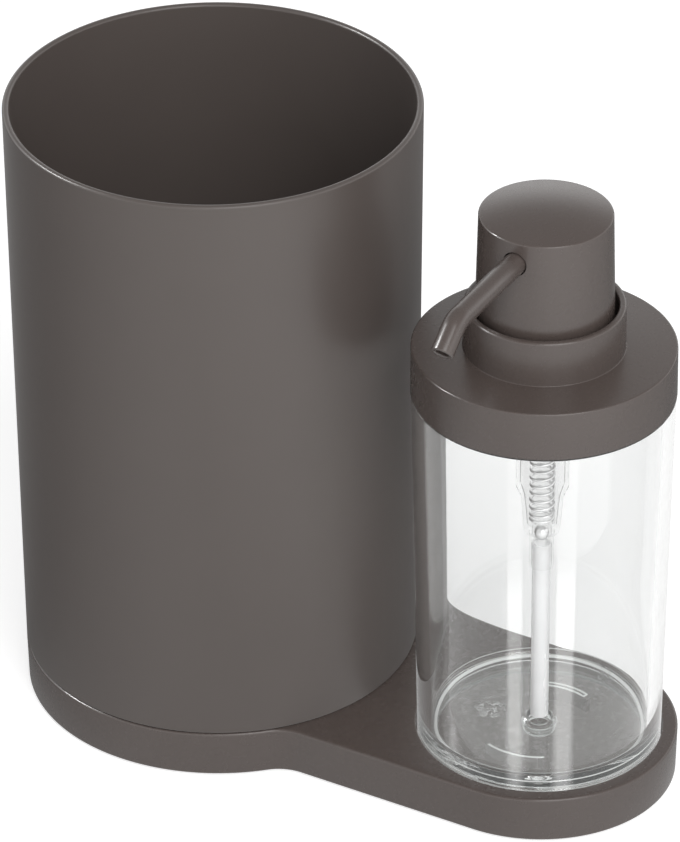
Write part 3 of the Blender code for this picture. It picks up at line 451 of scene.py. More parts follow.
def mix_shaders(tree, share, first, second):
    return add(tree, "ShaderNodeMixShader", {"Fac": share, 1: first, 2: second}).outputs["Shader"]


def new_material(name):
    """A material, its tree and main shader, and the object's own coordinates."""
    material = bpy.data.materials.new(name)
    material.use_nodes = True
    tree = material.node_tree
    place = add(tree, "ShaderNodeTexCoord").outputs["Object"]
    return material, tree, tree.nodes["Principled BSDF"], place


def noise(tree, place, scale, detail, roughness=0.5):
    return add(tree, "ShaderNodeTexNoise", {
        "Vector": place, "Scale": scale, "Detail": detail, "Roughness": roughness}).outputs["Fac"]


def streaks(tree, place, scales, detail):
    """Noise with its own scale along each axis."""
    place = add(tree, "ShaderNodeMapping", {"Vector": place, "Scale": scales}).outputs["Vector"]
    return noise(tree, place, 1.0, detail)


def spread(tree, value, low, high, start=NOISE_LOW, end=NOISE_HIGH):
    """Runs from low to high, and no further, as the value goes from start to end."""
    return add(tree, "ShaderNodeMapRange", {
        "Value": value, "From Min": start, "From Max": end,
        "To Min": low, "To Max": high}).outputs["Result"]


def ramp(tree, value, stops):
    """A colour ramp through stops of a place and a colour."""
    made = add(tree, "ShaderNodeValToRGB", {"Fac": value})
    elements = made.color_ramp.elements
    while len(elements) < len(stops):
        elements.new(1.0)
    for element, (place, colour) in zip(elements, stops):
        element.position = place
        element.color = (*colour, 1.0)
    return made.outputs["Color"]


def greys(tree, value, stops):
    return ramp(tree, value, [(place, (level,) * 3) for place, level in stops])


def tones(tree, value, colour, dark, light):
    """From a darker to a lighter tone of one colour."""
    return ramp(tree, value, [(place, [channel * share for channel in colour])
                              for place, share in ((NOISE_LOW, dark), (NOISE_HIGH, light))])


def bumps(tree, layers):
    """Stacked bump layers, each (height, distance, strength)."""
    normal = None
    for height, distance, strength in layers:
        inputs = {"Height": height, "Distance": distance, "Strength": strength}
        if normal:
            inputs["Normal"] = normal
        normal = add(tree, "ShaderNodeBump", inputs).outputs["Normal"]
    return normal


def moulded_plastic(name, colour, rough, specular):
    """Satin moulded plastic: a fine spark grain, slow sink waves and a slight mottle."""
    material, tree, shader, place = new_material(name)
    mottle, patches, grain, waves = (noise(tree, place, *texture) for texture in (
        PLASTIC_MOTTLE, PLASTIC_PATCHES, PLASTIC_GRAIN, PLASTIC_WAVES))
    smoother, rougher = PLASTIC_ROUGHNESS
    feed(tree, shader, {
        "Base Color": tones(tree, mottle, colour, *PLASTIC_TONES),
        "Roughness": spread(tree, patches, rough + smoother, rough + rougher),
        "Normal": bumps(tree, ((waves, *PLASTIC_WAVE_BUMP), (grain, *PLASTIC_GRAIN_BUMP))),
        "Specular IOR Level": specular})
    return material


def see_through(material, tree, shader, tint):
    """Lets light that lamps, matt or satin surfaces send pass straight through a clear wall."""
    path = add(tree, "ShaderNodeLightPath").outputs
    clean = math_node(tree, "MAXIMUM", path["Is Singular Ray"], path["Is Transmission Ray"])
    satin = math_node(tree, "SUBTRACT", path["Is Glossy Ray"], clean, clamp=True)
    passing = math_node(tree, "MAXIMUM", path["Is Shadow Ray"], path["Is Diffuse Ray"])
    passing = math_node(tree, "MAXIMUM", passing, satin)
    gap = add(tree, "ShaderNodeBsdfTransparent", {"Color": (*tint, 1.0)})
    mixed = mix_shaders(tree, passing, shader.outputs["BSDF"], gap.outputs["BSDF"])
    tree.links.new(mixed, tree.nodes["Material Output"].inputs["Surface"])
    return material


def flaw_mask(tree, place):
    """One in the middle of each flaw in the bottle's floor, and zero outside them."""
    mask = 0.0
    for *middle, radius in FLAW_SPOTS:
        apart = vector_math(tree, "DISTANCE", place, middle)
        mask = math_node(tree, "MAXIMUM", mask, spread(tree, apart, 1.0, 0.0, radius / 2, radius))
    return mask


def painted_highlight_band(tree, height, level):
    """Less clear, and so whiter, in a thin band just above a level: a painted highlight."""
    start, low, high, end = (level + rise for rise in LINE_Z)
    return math_node(tree, "MAXIMUM", spread(tree, height, 1.0, HIGHLIGHT_BAND_CLEAR, start, low),
                     spread(tree, height, HIGHLIGHT_BAND_CLEAR, 1.0, high, end))


def clear_plastic(name, colour, thick):
    """Thick clear plastic, with the slight draw lines and ripples of its moulding."""
    material, tree, shader, place = new_material(name)
    drawn = streaks(tree, place, *CLEAR_STREAKS)
    ripples, scuffs, flaws = (noise(tree, place, *texture) for texture in (
        CLEAR_RIPPLES, CLEAR_SCUFFS, CLEAR_FLAWS))
    flaws = math_node(tree, "MULTIPLY", spread(tree, flaws, 0.0, 1.0, *FLAW_RANGE),
                      flaw_mask(tree, place))
    height = add(tree, "ShaderNodeSeparateXYZ", {"Vector": place}).outputs["Z"]
    in_floor = spread(tree, height, 1.0, 0.0, SHOWN_FLOOR_Z, SHOWN_FLOOR_Z + SHOWN_FLOOR_R)
    edge = add(tree, "ShaderNodeLayerWeight", {"Blend": EDGE_BLEND}).outputs["Facing"]
    haze = spread(tree, height, CLEAR_FLOOR, 1.0, SHOWN_FLOOR_Z + HAZE_START, SHOWN_FLOOR_Z + HAZE_END)
    veil = spread(tree, edge, 1.0, CLEAR_EDGE, *EDGE_RANGE)
    share = math_node(tree, "MULTIPLY", haze, veil)
    # painted highlights: whiter bands where the floor meets the wall and along its ridges underneath
    lines = math_node(tree, "MINIMUM", painted_highlight_band(tree, height, SHOWN_FLOOR_Z),
                      painted_highlight_band(tree, height, FLOOR_UNDER_Z))
    feed(tree, shader, {
        "Base Color": mix_colours(tree, in_floor, tones(tree, scuffs, colour, *CLEAR_TONES),
                                  tones(tree, scuffs, thick, *THICK_TONES)),
        "Normal": bumps(tree, ((ripples, *RIPPLE_BUMP), (drawn, *STREAK_BUMP), (flaws, *FLAW_BUMP))),
        "Transmission Weight": math_node(tree, "MULTIPLY", share, lines),
        "Roughness": 0.0,
        "IOR": CLEAR_IOR})
    return see_through(material, tree, shader, CLEAR_TINT)


def milky_plastic(name, colour, clear, rough):
    """Natural translucent plastic, cloudy in patches and waxy on top."""
    material, tree, shader, place = new_material(name)
    cloud, fine = streaks(tree, place, *MILKY_CLOUD), noise(tree, place, *MILKY_FINE)
    feed(tree, shader, {
        "Base Color": tones(tree, cloud, colour, *MILKY_TONES),
        "Roughness": spread(tree, cloud, rough, rough * 2),
        "Normal": bumps(tree, ((cloud, *MILKY_CLOUD_BUMP), (fine, *MILKY_FINE_BUMP))),
        "Transmission Weight": clear,
        "IOR": MILKY_IOR})
    return see_through(material, tree, shader, MILKY_TINT)


def spring_steel(name, colour):
    """Drawn wire: bright metal with fine lines along it."""
    material, tree, shader, place = new_material(name)
    lines, stain = streaks(tree, place, *STEEL_LINES), noise(tree, place, *STEEL_STAIN)
    feed(tree, shader, {
        "Base Color": tones(tree, stain, colour, *STEEL_TONES),
        "Roughness": spread(tree, lines, *STEEL_ROUGHNESS),
        "Normal": bumps(tree, ((lines, *STEEL_BUMP),)),
        "Metallic": 1.0})
    return material


def soft_rubber(name, colour, rough):
    """Moulded rubber: matt, slightly dusty and finely pitted."""
    material, tree, shader, place = new_material(name)
    dust, pits = noise(tree, place, *RUBBER_DUST), noise(tree, place, *RUBBER_PITS)
    smoother, rougher = RUBBER_ROUGHNESS
    feed(tree, shader, {
        "Base Color": tones(tree, dust, colour, *RUBBER_TONES),
        "Roughness": spread(tree, dust, rough + smoother, rough + rougher),
        "Normal": bumps(tree, ((pits, *RUBBER_BUMP),)),
        "Specular IOR Level": RUBBER_SPECULAR})
    return material


# Shapes

def rounded(corners, closed=False):
    """The points of an outline whose corners (x, z, radius) are rounded with fine arcs."""
    points = []
    last = len(corners) - 1
    for index, (x, z, radius) in enumerate(corners):
        here = Vector((x, z))
        if not radius or (not closed and index in (0, last)):
            points.append(here)
            continue
        before = Vector(corners[index - 1][:2]) - here
        after = Vector(corners[(index + 1) % len(corners)][:2]) - here
        half = before.angle(after) / 2
        reach = min(radius / math.tan(half), CORNER_SHARE * min(before.length, after.length))
        start = here + before.normalized() * reach
        bisector = (before.normalized() + after.normalized()).normalized()
        centre = here + bisector * reach / math.cos(half)
        turn = math.copysign(math.pi - 2 * half, after.cross(before))
        arm = start - centre
        for step in range(ARC_STEPS + 1):
            angle = turn * step / ARC_STEPS
            points.append(centre + Vector((
                arm.x * math.cos(angle) - arm.y * math.sin(angle),
                arm.x * math.sin(angle) + arm.y * math.cos(angle))))
    return points


def smooth(mesh):
    mesh.shade_smooth()
    mesh.set_sharp_from_angle(angle=SMOOTH_TURN)


def skin(name, rings, closed=False):
    """A mesh through rings of points, where a ring of one point is a pole.

    A closed one joins the last ring to the first.
    """
    mesh = bpy.data.meshes.new(name)
    bm = bmesh.new()
    loops = [[bm.verts.new(point) for point in ring] for ring in rings]
    pairs = list(zip(loops, loops[1:]))
    if closed:
        pairs.append((loops[-1], loops[0]))
    for low, high in pairs:
        count = max(len(low), len(high))
        for i in range(count):
            after = (i + 1) % count
            corners = [low[i % len(low)], low[after % len(low)], high[after % len(high)],
                       high[i % len(high)]]
            bm.faces.new(list(dict.fromkeys(corners)))
    if not closed:
        for loop in (loops[0], loops[-1]):
            if len(loop) > 1:
                bm.faces.new(loop)
    bmesh.ops.recalc_face_normals(bm, faces=bm.faces)
    bm.to_mesh(mesh)
    bm.free()
    obj = bpy.data.objects.new(name, mesh)
    bpy.context.scene.collection.objects.link(obj)
    smooth(mesh)
    return obj


def turned(name, points, x=BOTTLE_X, y=AXIS_Y, segments=RING, closed=False):
    """A piece turned about an upright axis, through points of a radius and a height."""
    rings = []
    for radius, height in points:
        if radius < WELD:
            rings.append([(x, y, height)])
            continue
        rings.append([(x + radius * math.cos(2 * math.pi * i / segments),
                       y + radius * math.sin(2 * math.pi * i / segments), height)
                      for i in range(segments)])
    return skin(name, rings, closed)


def sweep(name, path, radius, segments):
    """A round bar through the points of a path."""
    rings = []
    side = Vector((1, 0, 0))
    for index, place in enumerate(path):
        ahead = Vector(path[min(index + 1, len(path) - 1)])
        behind = Vector(path[max(index - 1, 0)])
        along = (ahead - behind).normalized()
        side = (side - along * side.dot(along)).normalized()
        up = along.cross(side)
        rings.append([Vector(place) + radius * (side * math.cos(2 * math.pi * i / segments)
                                                + up * math.sin(2 * math.pi * i / segments))
                      for i in range(segments)])
    return skin(name, rings)


def cut(obj, other, operation="DIFFERENCE"):
    """Applies an exact boolean and removes the cutter."""
    modifier = obj.modifiers.new("cut", "BOOLEAN")
    modifier.operation = operation
    modifier.object = other
    bpy.context.view_layer.update()
    graph = bpy.context.evaluated_depsgraph_get()
    made = bpy.data.meshes.new_from_object(obj.evaluated_get(graph))
    obj.modifiers.clear()
    obj.data = made
    smooth(made)
    bpy.data.objects.remove(other, do_unlink=True)


def arc_points(x, y, radius, start, end, steps):
    return [(x + radius * math.cos(start + (end - start) * i / steps),
             y + radius * math.sin(start + (end - start) * i / steps)) for i in range(steps + 1)]


def arc_pair(middle, radius, width, steps):
    """The outer and the inner side of an arc round the bottle's axis, in opposite directions."""
    start, end = (middle + side * SEAT_RIB_SPAN / 2 for side in (-1, 1))
    return (arc_points(BOTTLE_X, AXIS_Y, radius + width / 2, start, end, steps),
            arc_points(BOTTLE_X, AXIS_Y, radius - width / 2, end, start, steps))


def prism(name, outline, bottom, top):
    return skin(name, [[(x, y, z) for x, y in outline] for z in (bottom, top)])


def paint(obj, material):
    obj.data.materials.clear()
    obj.data.materials.append(material)


def dress(obj, body, material, slot, *nodes):
    """Gives a piece its material and its place in the frame."""
    paint(obj, material)
    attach(obj, body)
    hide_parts(*nodes)


def tray_outline(inset):
    """The tray's plan, drawn in from its widest by inset: two round ends and a filleted bridge."""
    cup_r = CUP_FOOT_R - inset
    end_r = TRAY_END_R - inset
    fillet = BRIDGE_FILLET + inset
    span = cup_r + fillet
    turn = BRIDGE_TAPER + math.asin((end_r + fillet - AXIS_SPACING * math.sin(BRIDGE_TAPER)) / span)
    fillet_x, fillet_y = CUP_X + span * math.cos(turn), span * math.sin(turn)
    side = math.pi / 2 + BRIDGE_TAPER
    points = arc_points(BOTTLE_X, 0, end_r, -side, side, TRAY_END_STEPS)
    points += arc_points(fillet_x, fillet_y, fillet, side - math.pi, turn - math.pi, TRAY_FILLET_STEPS)
    points += arc_points(CUP_X, 0, cup_r, turn, 2 * math.pi - turn, TRAY_CUP_STEPS)[1:-1]
    points += arc_points(fillet_x, -fillet_y, fillet, math.pi - turn, math.pi - side, TRAY_FILLET_STEPS)
    return points


def tray_ring(inset, height):
    return [(x, y + AXIS_Y, height) for x, y in tray_outline(inset)]


def pad_places():
    return [(x + radius * math.cos(turn), AXIS_Y + radius * math.sin(turn))
            for x, radius, turns in ((CUP_X, CUP_PAD_RING_R, CUP_PAD_TURNS),
                                     (BOTTLE_X, BOTTLE_PAD_RING_R, BOTTLE_PAD_TURNS))
            for turn in turns]


def post(name, radius, bottom, top, x, y=AXIS_Y, segments=RING):
    """An upright cylinder."""
    return prism(name, arc_points(x, y, radius, 0, 2 * math.pi, segments)[:-1], bottom, top)


def build_tray():
    """The moulding: skin, plateau, hollow underside with ribs and bosses, recess and seat ribs."""
    rings = [tray_ring(TRAY_DRAFT + TRAY_FOOT_EDGE_R * (1 - math.sin(angle)),
                       FOOT_STAND + TRAY_FOOT_EDGE_R * (1 - math.cos(angle))) for angle in QUARTER_TURN]
    rings += [tray_ring(TRAY_EDGE_R * (1 - math.cos(angle)),
                        TRAY_TOP_Z - TRAY_EDGE_R * (1 - math.sin(angle))) for angle in QUARTER_TURN]
    tray = skin("tray", rings)
    plateau = turned("plateau", rounded([
        (0, TRAY_TOP_Z - TRAY_WALL / 2, 0), (PLATEAU_R, TRAY_TOP_Z - TRAY_WALL / 2, 0),
        (PLATEAU_R, PLATEAU_Z, PLATEAU_EDGE_R), (0, PLATEAU_Z, 0)]), CUP_X)
    cut(tray, plateau, "UNION")

    core = skin("core", [tray_ring(TRAY_DRAFT + TRAY_WALL, FOOT_STAND - OVERRUN),
                         tray_ring(TRAY_WALL, TRAY_TOP_Z - TRAY_WALL)])
    cut(core, post("plateau_core", PLATEAU_R - TRAY_WALL, FOOT_STAND, PLATEAU_Z - TRAY_WALL, CUP_X),
        "UNION")
    cut(core, post("recess_cup", RECESS_R + TRAY_WALL / 2, RECESS_Z - TRAY_WALL, PLATEAU_Z, BOTTLE_X))
    rib_rows = int((CUP_FOOT_R - TRAY_WALL) / RIB_PITCH)
    left, far = CUP_X - CUP_FOOT_R, BOTTLE_X + TRAY_END_R
    for row in range(1 - rib_rows, rib_rows):
        low, high = (AXIS_Y + row * RIB_PITCH + side * RIB_T / 2 for side in (-1, 1))
        cut(core, prism("rib", [(left, low), (far, low), (far, high), (left, high)],
                        FOOT_STAND + RIB_LIFT, PLATEAU_Z))
    for x, y in pad_places():
        cut(core, post("boss", PAD_BOSS_R, PAD_T + SEAT_GAP, PLATEAU_Z, x, y, SMALL_RING))
    cut(tray, core)

    mouth_r = RECESS_R + 2 * RECESS_EDGE_R
    cut(tray, turned("recess", rounded([
        (0, RECESS_Z, 0), (RECESS_R, RECESS_Z, 0), (RECESS_R, TRAY_TOP_Z, RECESS_EDGE_R),
        (mouth_r, TRAY_TOP_Z, 0), (mouth_r, TRAY_TOP_Z + OVERRUN, 0), (0, TRAY_TOP_Z + OVERRUN, 0)])))
    for middle in (math.pi / 2, -math.pi / 2):
        outer, inner = arc_pair(middle, SEAT_RIB_R, SEAT_RIB_T, SEAT_RIB_ARC_STEPS)
        cut(tray, prism("seat_rib", outer + inner, RECESS_Z - TRAY_WALL / 2, FLOOR_UNDER_Z - SEAT_GAP),
            "UNION")
    tray.visible_glossy = False      # keeps its dark top out of the cup's gloss
    dress(tray, "tray", taupe, "taupe_plastic", "base_tray")


def build_pads():
    for number, (x, y) in enumerate(pad_places(), 1):
        pad = turned(f"pad_{number}", rounded([
            (0, PAD_T, 0), (PAD_R, PAD_T, 0), (PAD_R, 0, PAD_EDGE_R), (0, 0, 0)]), x, y, SMALL_RING)
        dress(pad, "tray", rubber, "grey_rubber", f"foot_pad_{number}")


def build_cup():
    floor_under = PLATEAU_Z + SEAT_GAP
    floor_z = floor_under + CUP_FLOOR_T
    floor_r = slope_r(CUP_FOOT_R, CUP_Z, CUP_RIM_R, CUP_TOP_Z, floor_z) - CUP_WALL
    foot_in_r = CUP_FOOT_R - CUP_FOOT_W
    rim_r = CUP_WALL / 2
    cup = turned("tumbler", rounded([
        (0, floor_z, 0),
        (floor_r, floor_z, CUP_FLOOR_R),
        (CUP_RIM_R - CUP_WALL, CUP_TOP_Z, rim_r),
        (CUP_RIM_R, CUP_TOP_Z, rim_r),
        (CUP_FOOT_R, CUP_Z, CUP_EDGE_R),
        (foot_in_r, CUP_Z, CUP_EDGE_R),
        (foot_in_r, floor_under, 0),
        (0, floor_under, 0)]), CUP_X, segments=CUP_RING)
    dress(cup, "cup", taupe_matt_lit, "taupe_plastic", "cup")


def build_bottle():
    floor_r = bottle_r(SHOWN_FLOOR_Z) - BOTTLE_WALL
    sump_in_r = SUMP_R - SUMP_WALL
    foot_in_r = BOTTLE_FOOT_R - BOTTLE_WALL
    bottle = turned("clear_bottle", rounded([
        (0, SUMP_Z + SUMP_WALL, 0),
        (sump_in_r, SUMP_Z + SUMP_WALL, SUMP_SOFT_R),
        (sump_in_r, SHOWN_FLOOR_Z, SHOWN_FLARE_R),
        (floor_r, SHOWN_FLOOR_Z, SHOWN_FLOOR_R),
        (MOUTH_R, SHOULDER_Z, 0),
        (MOUTH_R, RIM_Z, RIM_EDGE_R / 2),
        (REBATE_R, RIM_Z, RIM_EDGE_R / 2),
        (REBATE_R, SHOULDER_Z, 0),
        (BOTTLE_SHOULDER_R, SHOULDER_Z, 0),
        (BOTTLE_FOOT_R, BOTTLE_Z, BOTTLE_HEEL_R),
        (foot_in_r, BOTTLE_Z, RIM_EDGE_R),
        (foot_in_r, FLOOR_UNDER_Z, BOTTLE_HEEL_R),
        (SUMP_R + SUMP_SWELL, FLOOR_UNDER_Z, SUMP_SOFT_R),
        (SUMP_R + SUMP_SWELL, SUMP_Z, SUMP_ROUND),
        (0, SUMP_Z, 0)]))
    for middle, double in ((math.pi / 2, True), (-math.pi / 2, False)):
        outer, inner = arc_pair(middle + GROOVE_TURN, GROOVE_RING_R, GROOVE_GAP, GROOVE_ARC_STEPS)
        path = [(x, y, FLOOR_UNDER_Z) for x, y in (inner if double else []) + outer]
        cut(bottle, sweep("groove", path, GROOVE_R, WIRE_RING))
    dress(bottle, "bottle", clear, "clear_glass", "bottle")


def build_lid():
    plug_foot = LID_UNDER_Z - PLUG_DEPTH
    bead_top = plug_foot + SEAL_BEAD_H
    well_under = WELL_Z - LID_T
    lid = turned("cap", rounded([
        (COLLAR_R, COLLAR_TOP_Z, COLLAR_EDGE_R),
        (COLLAR_FOOT_R, LID_TOP_Z, COLLAR_FILLET),
        (LID_TOP_R, LID_TOP_Z, LID_EDGE_R),
        (LID_FOOT_R, LID_Z, LID_FOOT_EDGE_R),
        (SKIRT_IN_R, LID_Z, LID_FOOT_EDGE_R),
        (SKIRT_IN_R, LID_UNDER_Z, SOFT_R),
        (LID_PLUG_R, LID_UNDER_Z, SOFT_R),
        (LID_PLUG_R, bead_top, 0),
        (LID_PLUG_R + SEAL_BEAD_OUT, bead_top, 0),
        (LID_PLUG_R, plug_foot, 0),
        (LID_PLUG_R - PLUG_WALL, plug_foot, LID_FOOT_EDGE_R),
        (LID_PLUG_R - PLUG_WALL, LID_UNDER_Z, SOFT_R),
        (COLLAR_FOOT_R, LID_UNDER_Z, SOFT_R),
        (COLLAR_FOOT_R, well_under, SOFT_R),
        (PIPE_HOLE_R, well_under, 0),
        (PIPE_HOLE_R, WELL_Z, 0),
        (WELL_R, WELL_Z, SOFT_R),
        (WELL_R, COLLAR_TOP_Z, COLLAR_EDGE_R)], closed=True), closed=True)
    dress(lid, "lid", taupe, "taupe_plastic", "lid")


def build_housing():
    barrel_bore_foot = BARREL_FOOT_Z + HOUSING_WALL
    lower_bore_r = LOWER_TOP_R - LOWER_WALL
    seat_r = slope_r(LOWER_FOOT_R, LOWER_FOOT_Z, LOWER_TOP_R, LOWER_TOP_Z, SPRING_SEAT_Z) - LOWER_WALL
    socket_bore_r = TUBE_R + TUBE_FIT
    socket_top = VALVE_BORE_Z - VALVE_BORE_H
    housing = turned("cylinder", rounded([
        (HOUSING_R, NECK_TOP_Z, 0), (HOUSING_R, FLANGE_TOP_Z, 0), (FLANGE_R, FLANGE_TOP_Z, 0),
        (FLANGE_R, FLANGE_Z, 0), (HOUSING_R, FLANGE_Z, 0), (HOUSING_R, BARREL_FOOT_Z, SOFT_R),
        (LOWER_TOP_R, LOWER_TOP_Z, SOFT_R), (LOWER_FOOT_R, LOWER_FOOT_Z, SOFT_R),
        (SOCKET_R, LOWER_FOOT_Z, SOFT_R), (SOCKET_R, SOCKET_FOOT_Z, 0),
        (socket_bore_r, SOCKET_FOOT_Z, 0), (socket_bore_r, socket_top, 0),
        (VALVE_BORE_R, socket_top, 0), (VALVE_BORE_R, VALVE_BORE_Z, 0), (CHAMBER_R, CHAMBER_Z, 0),
        (CHAMBER_R, CHAMBER_TOP_Z, 0), (CHAMBER_LIP_R, CHAMBER_TOP_Z, 0),
        (CHAMBER_LIP_R, SPRING_SEAT_Z, 0), (seat_r, SPRING_SEAT_Z, 0),
        (lower_bore_r, LOWER_TOP_Z, SOFT_R), (BORE_R, barrel_bore_foot, SOFT_R),
        (BORE_R, NECK_TOP_Z, 0)], closed=True), segments=SMALL_RING, closed=True)
    dress(housing, "lid", milky, "milky_plastic", "pump_housing")


def build_dip_tube():
    edge_r = (TUBE_R - TUBE_BORE_R) / 3
    tube = turned("suction_tube", rounded([
        (TUBE_R, TUBE_TOP_Z, edge_r), (TUBE_R, TUBE_FOOT_Z, edge_r), (TUBE_BORE_R, TUBE_FOOT_Z, edge_r),
        (TUBE_BORE_R, TUBE_TOP_Z, edge_r)], closed=True), segments=SMALL_RING, closed=True)
    dress(tube, "lid", milky_tube, "milky_plastic", "dip_tube")


def build_spring():
    """The coil, as one wire with ground ends."""
    bottom = SPRING_SEAT_Z + SEAT_GAP + WIRE_R
    height = PLUG_FLANGE_Z - SEAT_GAP - WIRE_R - bottom
    count = SPRING_TURNS * SPRING_RING_POINTS
    shares = []
    for i in range(count):
        turn = (i + 1 / 2) / SPRING_RING_POINTS
        to_end = min(turn, SPRING_TURNS - turn)
        shares.append(min(max(to_end - SPRING_END_TURNS + 1 / 2, 0), 1))
    closed_step = SPRING_END_PITCH / SPRING_RING_POINTS
    open_step = (height - closed_step * count) / sum(shares)
    path = []
    z = bottom
    for i in range(count + 1):
        angle = 2 * math.pi * i / SPRING_RING_POINTS
        path.append((BOTTLE_X + SPRING_R * math.cos(angle), AXIS_Y + SPRING_R * math.sin(angle), z))
        if i < count:
            z += closed_step + open_step * shares[i]
    coil = sweep("coil", path, WIRE_R, WIRE_RING)
    dress(coil, "lid", steel, "steel", "spring")
    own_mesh(coil)


def build_head_shell():
    foot_in_r = HEAD_FOOT_R - HEAD_WALL
    roof_in_r = head_r(HEAD_ROOF_Z) - HEAD_WALL
    dome = [(HEAD_TOP_R * step / DOME_ARC_STEPS,
             HEAD_TOP_Z + HEAD_DOME * (1 - (step / DOME_ARC_STEPS) ** 2), 0)
            for step in range(DOME_ARC_STEPS)]
    shell = turned("press_head", rounded(dome + [
        (HEAD_TOP_R, HEAD_TOP_Z, HEAD_EDGE_R),
        (HEAD_FOOT_R, HEAD_FOOT_Z, SOFT_R),
        (foot_in_r, HEAD_FOOT_Z, SOFT_R),
        (roof_in_r, HEAD_ROOF_Z, SOFT_R),
        (0, HEAD_ROOF_Z, 0)]))
    start, end = head_r(SPOUT_Z) - HEAD_WALL - OVERRUN, head_r(SPOUT_Z) + OVERRUN
    cut(shell, sweep("drill", [(BOTTLE_X, AXIS_Y - start, SPOUT_Z), (BOTTLE_X, AXIS_Y - end, SPOUT_Z)],
                     SPOUT_R + SPOUT_HOLE_CLEAR, TUBE_RING))
    dress(shell, "head", taupe, "taupe_plastic", "head_shell")


def build_spout():
    """The bent outlet tube: rings along its outside, round its lip and back along its bore."""
    tangent = SPOUT_BEND_R * math.tan(SPOUT_DROOP / 2)
    line = [(Vector((0, -SPOUT_ROOT, SPOUT_Z)), 0.0)]
    for step in range(BEND_STEPS + 1):
        angle = SPOUT_DROOP * step / BEND_STEPS
        line.append((Vector((0, -SPOUT_CORNER + tangent - SPOUT_BEND_R * math.sin(angle),
                             SPOUT_Z - SPOUT_BEND_R * (1 - math.cos(angle)))), angle))
    along = Vector((0, -math.cos(SPOUT_DROOP), -math.sin(SPOUT_DROOP)))
    tip = Vector((0, -SPOUT_CORNER - SPOUT_TIP_L * math.cos(SPOUT_DROOP),
                  SPOUT_Z - SPOUT_TIP_L * math.sin(SPOUT_DROOP)))
    lip = min(SPOUT_LIP_R, (SPOUT_R - SPOUT_BORE_R) / 2)
    stations = [(place, SPOUT_R, droop) for place, droop in line]
    stations += [(tip - along * lip * (1 - math.sin(angle)), SPOUT_R - lip * (1 - math.cos(angle)),
                  SPOUT_DROOP) for angle in QUARTER_TURN]
    stations += [(tip - along * lip * (1 - math.cos(angle)), SPOUT_BORE_R + lip * (1 - math.sin(angle)),
                  SPOUT_DROOP) for angle in QUARTER_TURN]
    stations += [(place, SPOUT_BORE_R, droop) for place, droop in reversed(line)]
    axis, side = Vector((BOTTLE_X, AXIS_Y, 0)), Vector((1, 0, 0))
    rings = []
    for place, radius, droop in stations:
        up = Vector((0, -math.sin(droop), math.cos(droop)))
        rings.append([axis + place + radius * (side * math.cos(2 * math.pi * i / TUBE_RING)
                                               + up * math.sin(2 * math.pi * i / TUBE_RING))
                      for i in range(TUBE_RING)])
    dress(skin("outlet", rings, closed=True), "head", taupe, "taupe_plastic", "spout")


def finish_frame_nodes():
    """The inner pieces that are shown as packed get their finished materials."""
    looks = {"lid_seal": seal, "housing_gasket": seal, "pump_nut": taupe, "chaplet": milky,
             "inlet_ball": steel, "piston": milky, "stem": milky, "valve_plug": milky,
             "actuator_core": taupe}
    for name, material in looks.items():
        paint(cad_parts[name], material)


# Stage

def outward(azimuth, elevation=0.0):
    """The direction from the object to where a camera or lamp stands."""
    return Vector((math.sin(azimuth) * math.cos(elevation), -math.cos(azimuth) * math.cos(elevation),
                   math.sin(elevation)))


def build_camera():
    back = outward(CAMERA_AZIMUTH, CAMERA_ELEVATION)
    right = Vector((math.cos(CAMERA_AZIMUTH), math.sin(CAMERA_AZIMUTH), 0))
    up = back.cross(right)
    x_axis = right * math.cos(CAMERA_ROLL) - up * math.sin(CAMERA_ROLL)
    y_axis = right * math.sin(CAMERA_ROLL) + up * math.cos(CAMERA_ROLL)
    data = bpy.data.cameras.new("camera")
    data.lens = CAMERA_LENS
    data.sensor_width = CAMERA_SENSOR
    data.clip_start, data.clip_end = CAMERA_NEAR, 2 * FLOOR_SIZE
    camera = bpy.data.objects.new("camera", data)
    turn = Matrix((x_axis, y_axis, back)).transposed().to_4x4()
    camera.matrix_world = Matrix.Translation(CAMERA_PLACE) @ turn
    bpy.context.scene.collection.objects.link(camera)
    bpy.context.scene.camera = camera


def build_lamp(name, azimuth, elevation, distance, size, power, matt=True, gloss=True):
    data = bpy.data.lights.new(name, "AREA")
    data.shape = "SQUARE"
    data.size = size
    data.energy = power
    lamp = bpy.data.objects.new(name, data)
    away = outward(azimuth, elevation)
    lamp.location = Vector((0, 0, CUP_H / 2)) + away * distance
    lamp.rotation_euler = away.to_track_quat("Z", "Y").to_euler()
    lamp.visible_camera = False
    lamp.visible_diffuse = matt
    lamp.visible_glossy = gloss
    bpy.context.scene.collection.objects.link(lamp)


def lobe(tree, x, y):
    """How far a level direction points along the lights' own axis, from 0 (away) to 1."""
    level = add(tree, "ShaderNodeCombineXYZ", {"X": x, "Y": y}).outputs["Vector"]
    level = vector_math(tree, "NORMALIZE", level, output="Vector")
    along = vector_math(tree, "DOT_PRODUCT", level, outward(LOBE_AZIMUTH))
    return spread(tree, along, 0.0, 1.0, -1.0, 1.0)


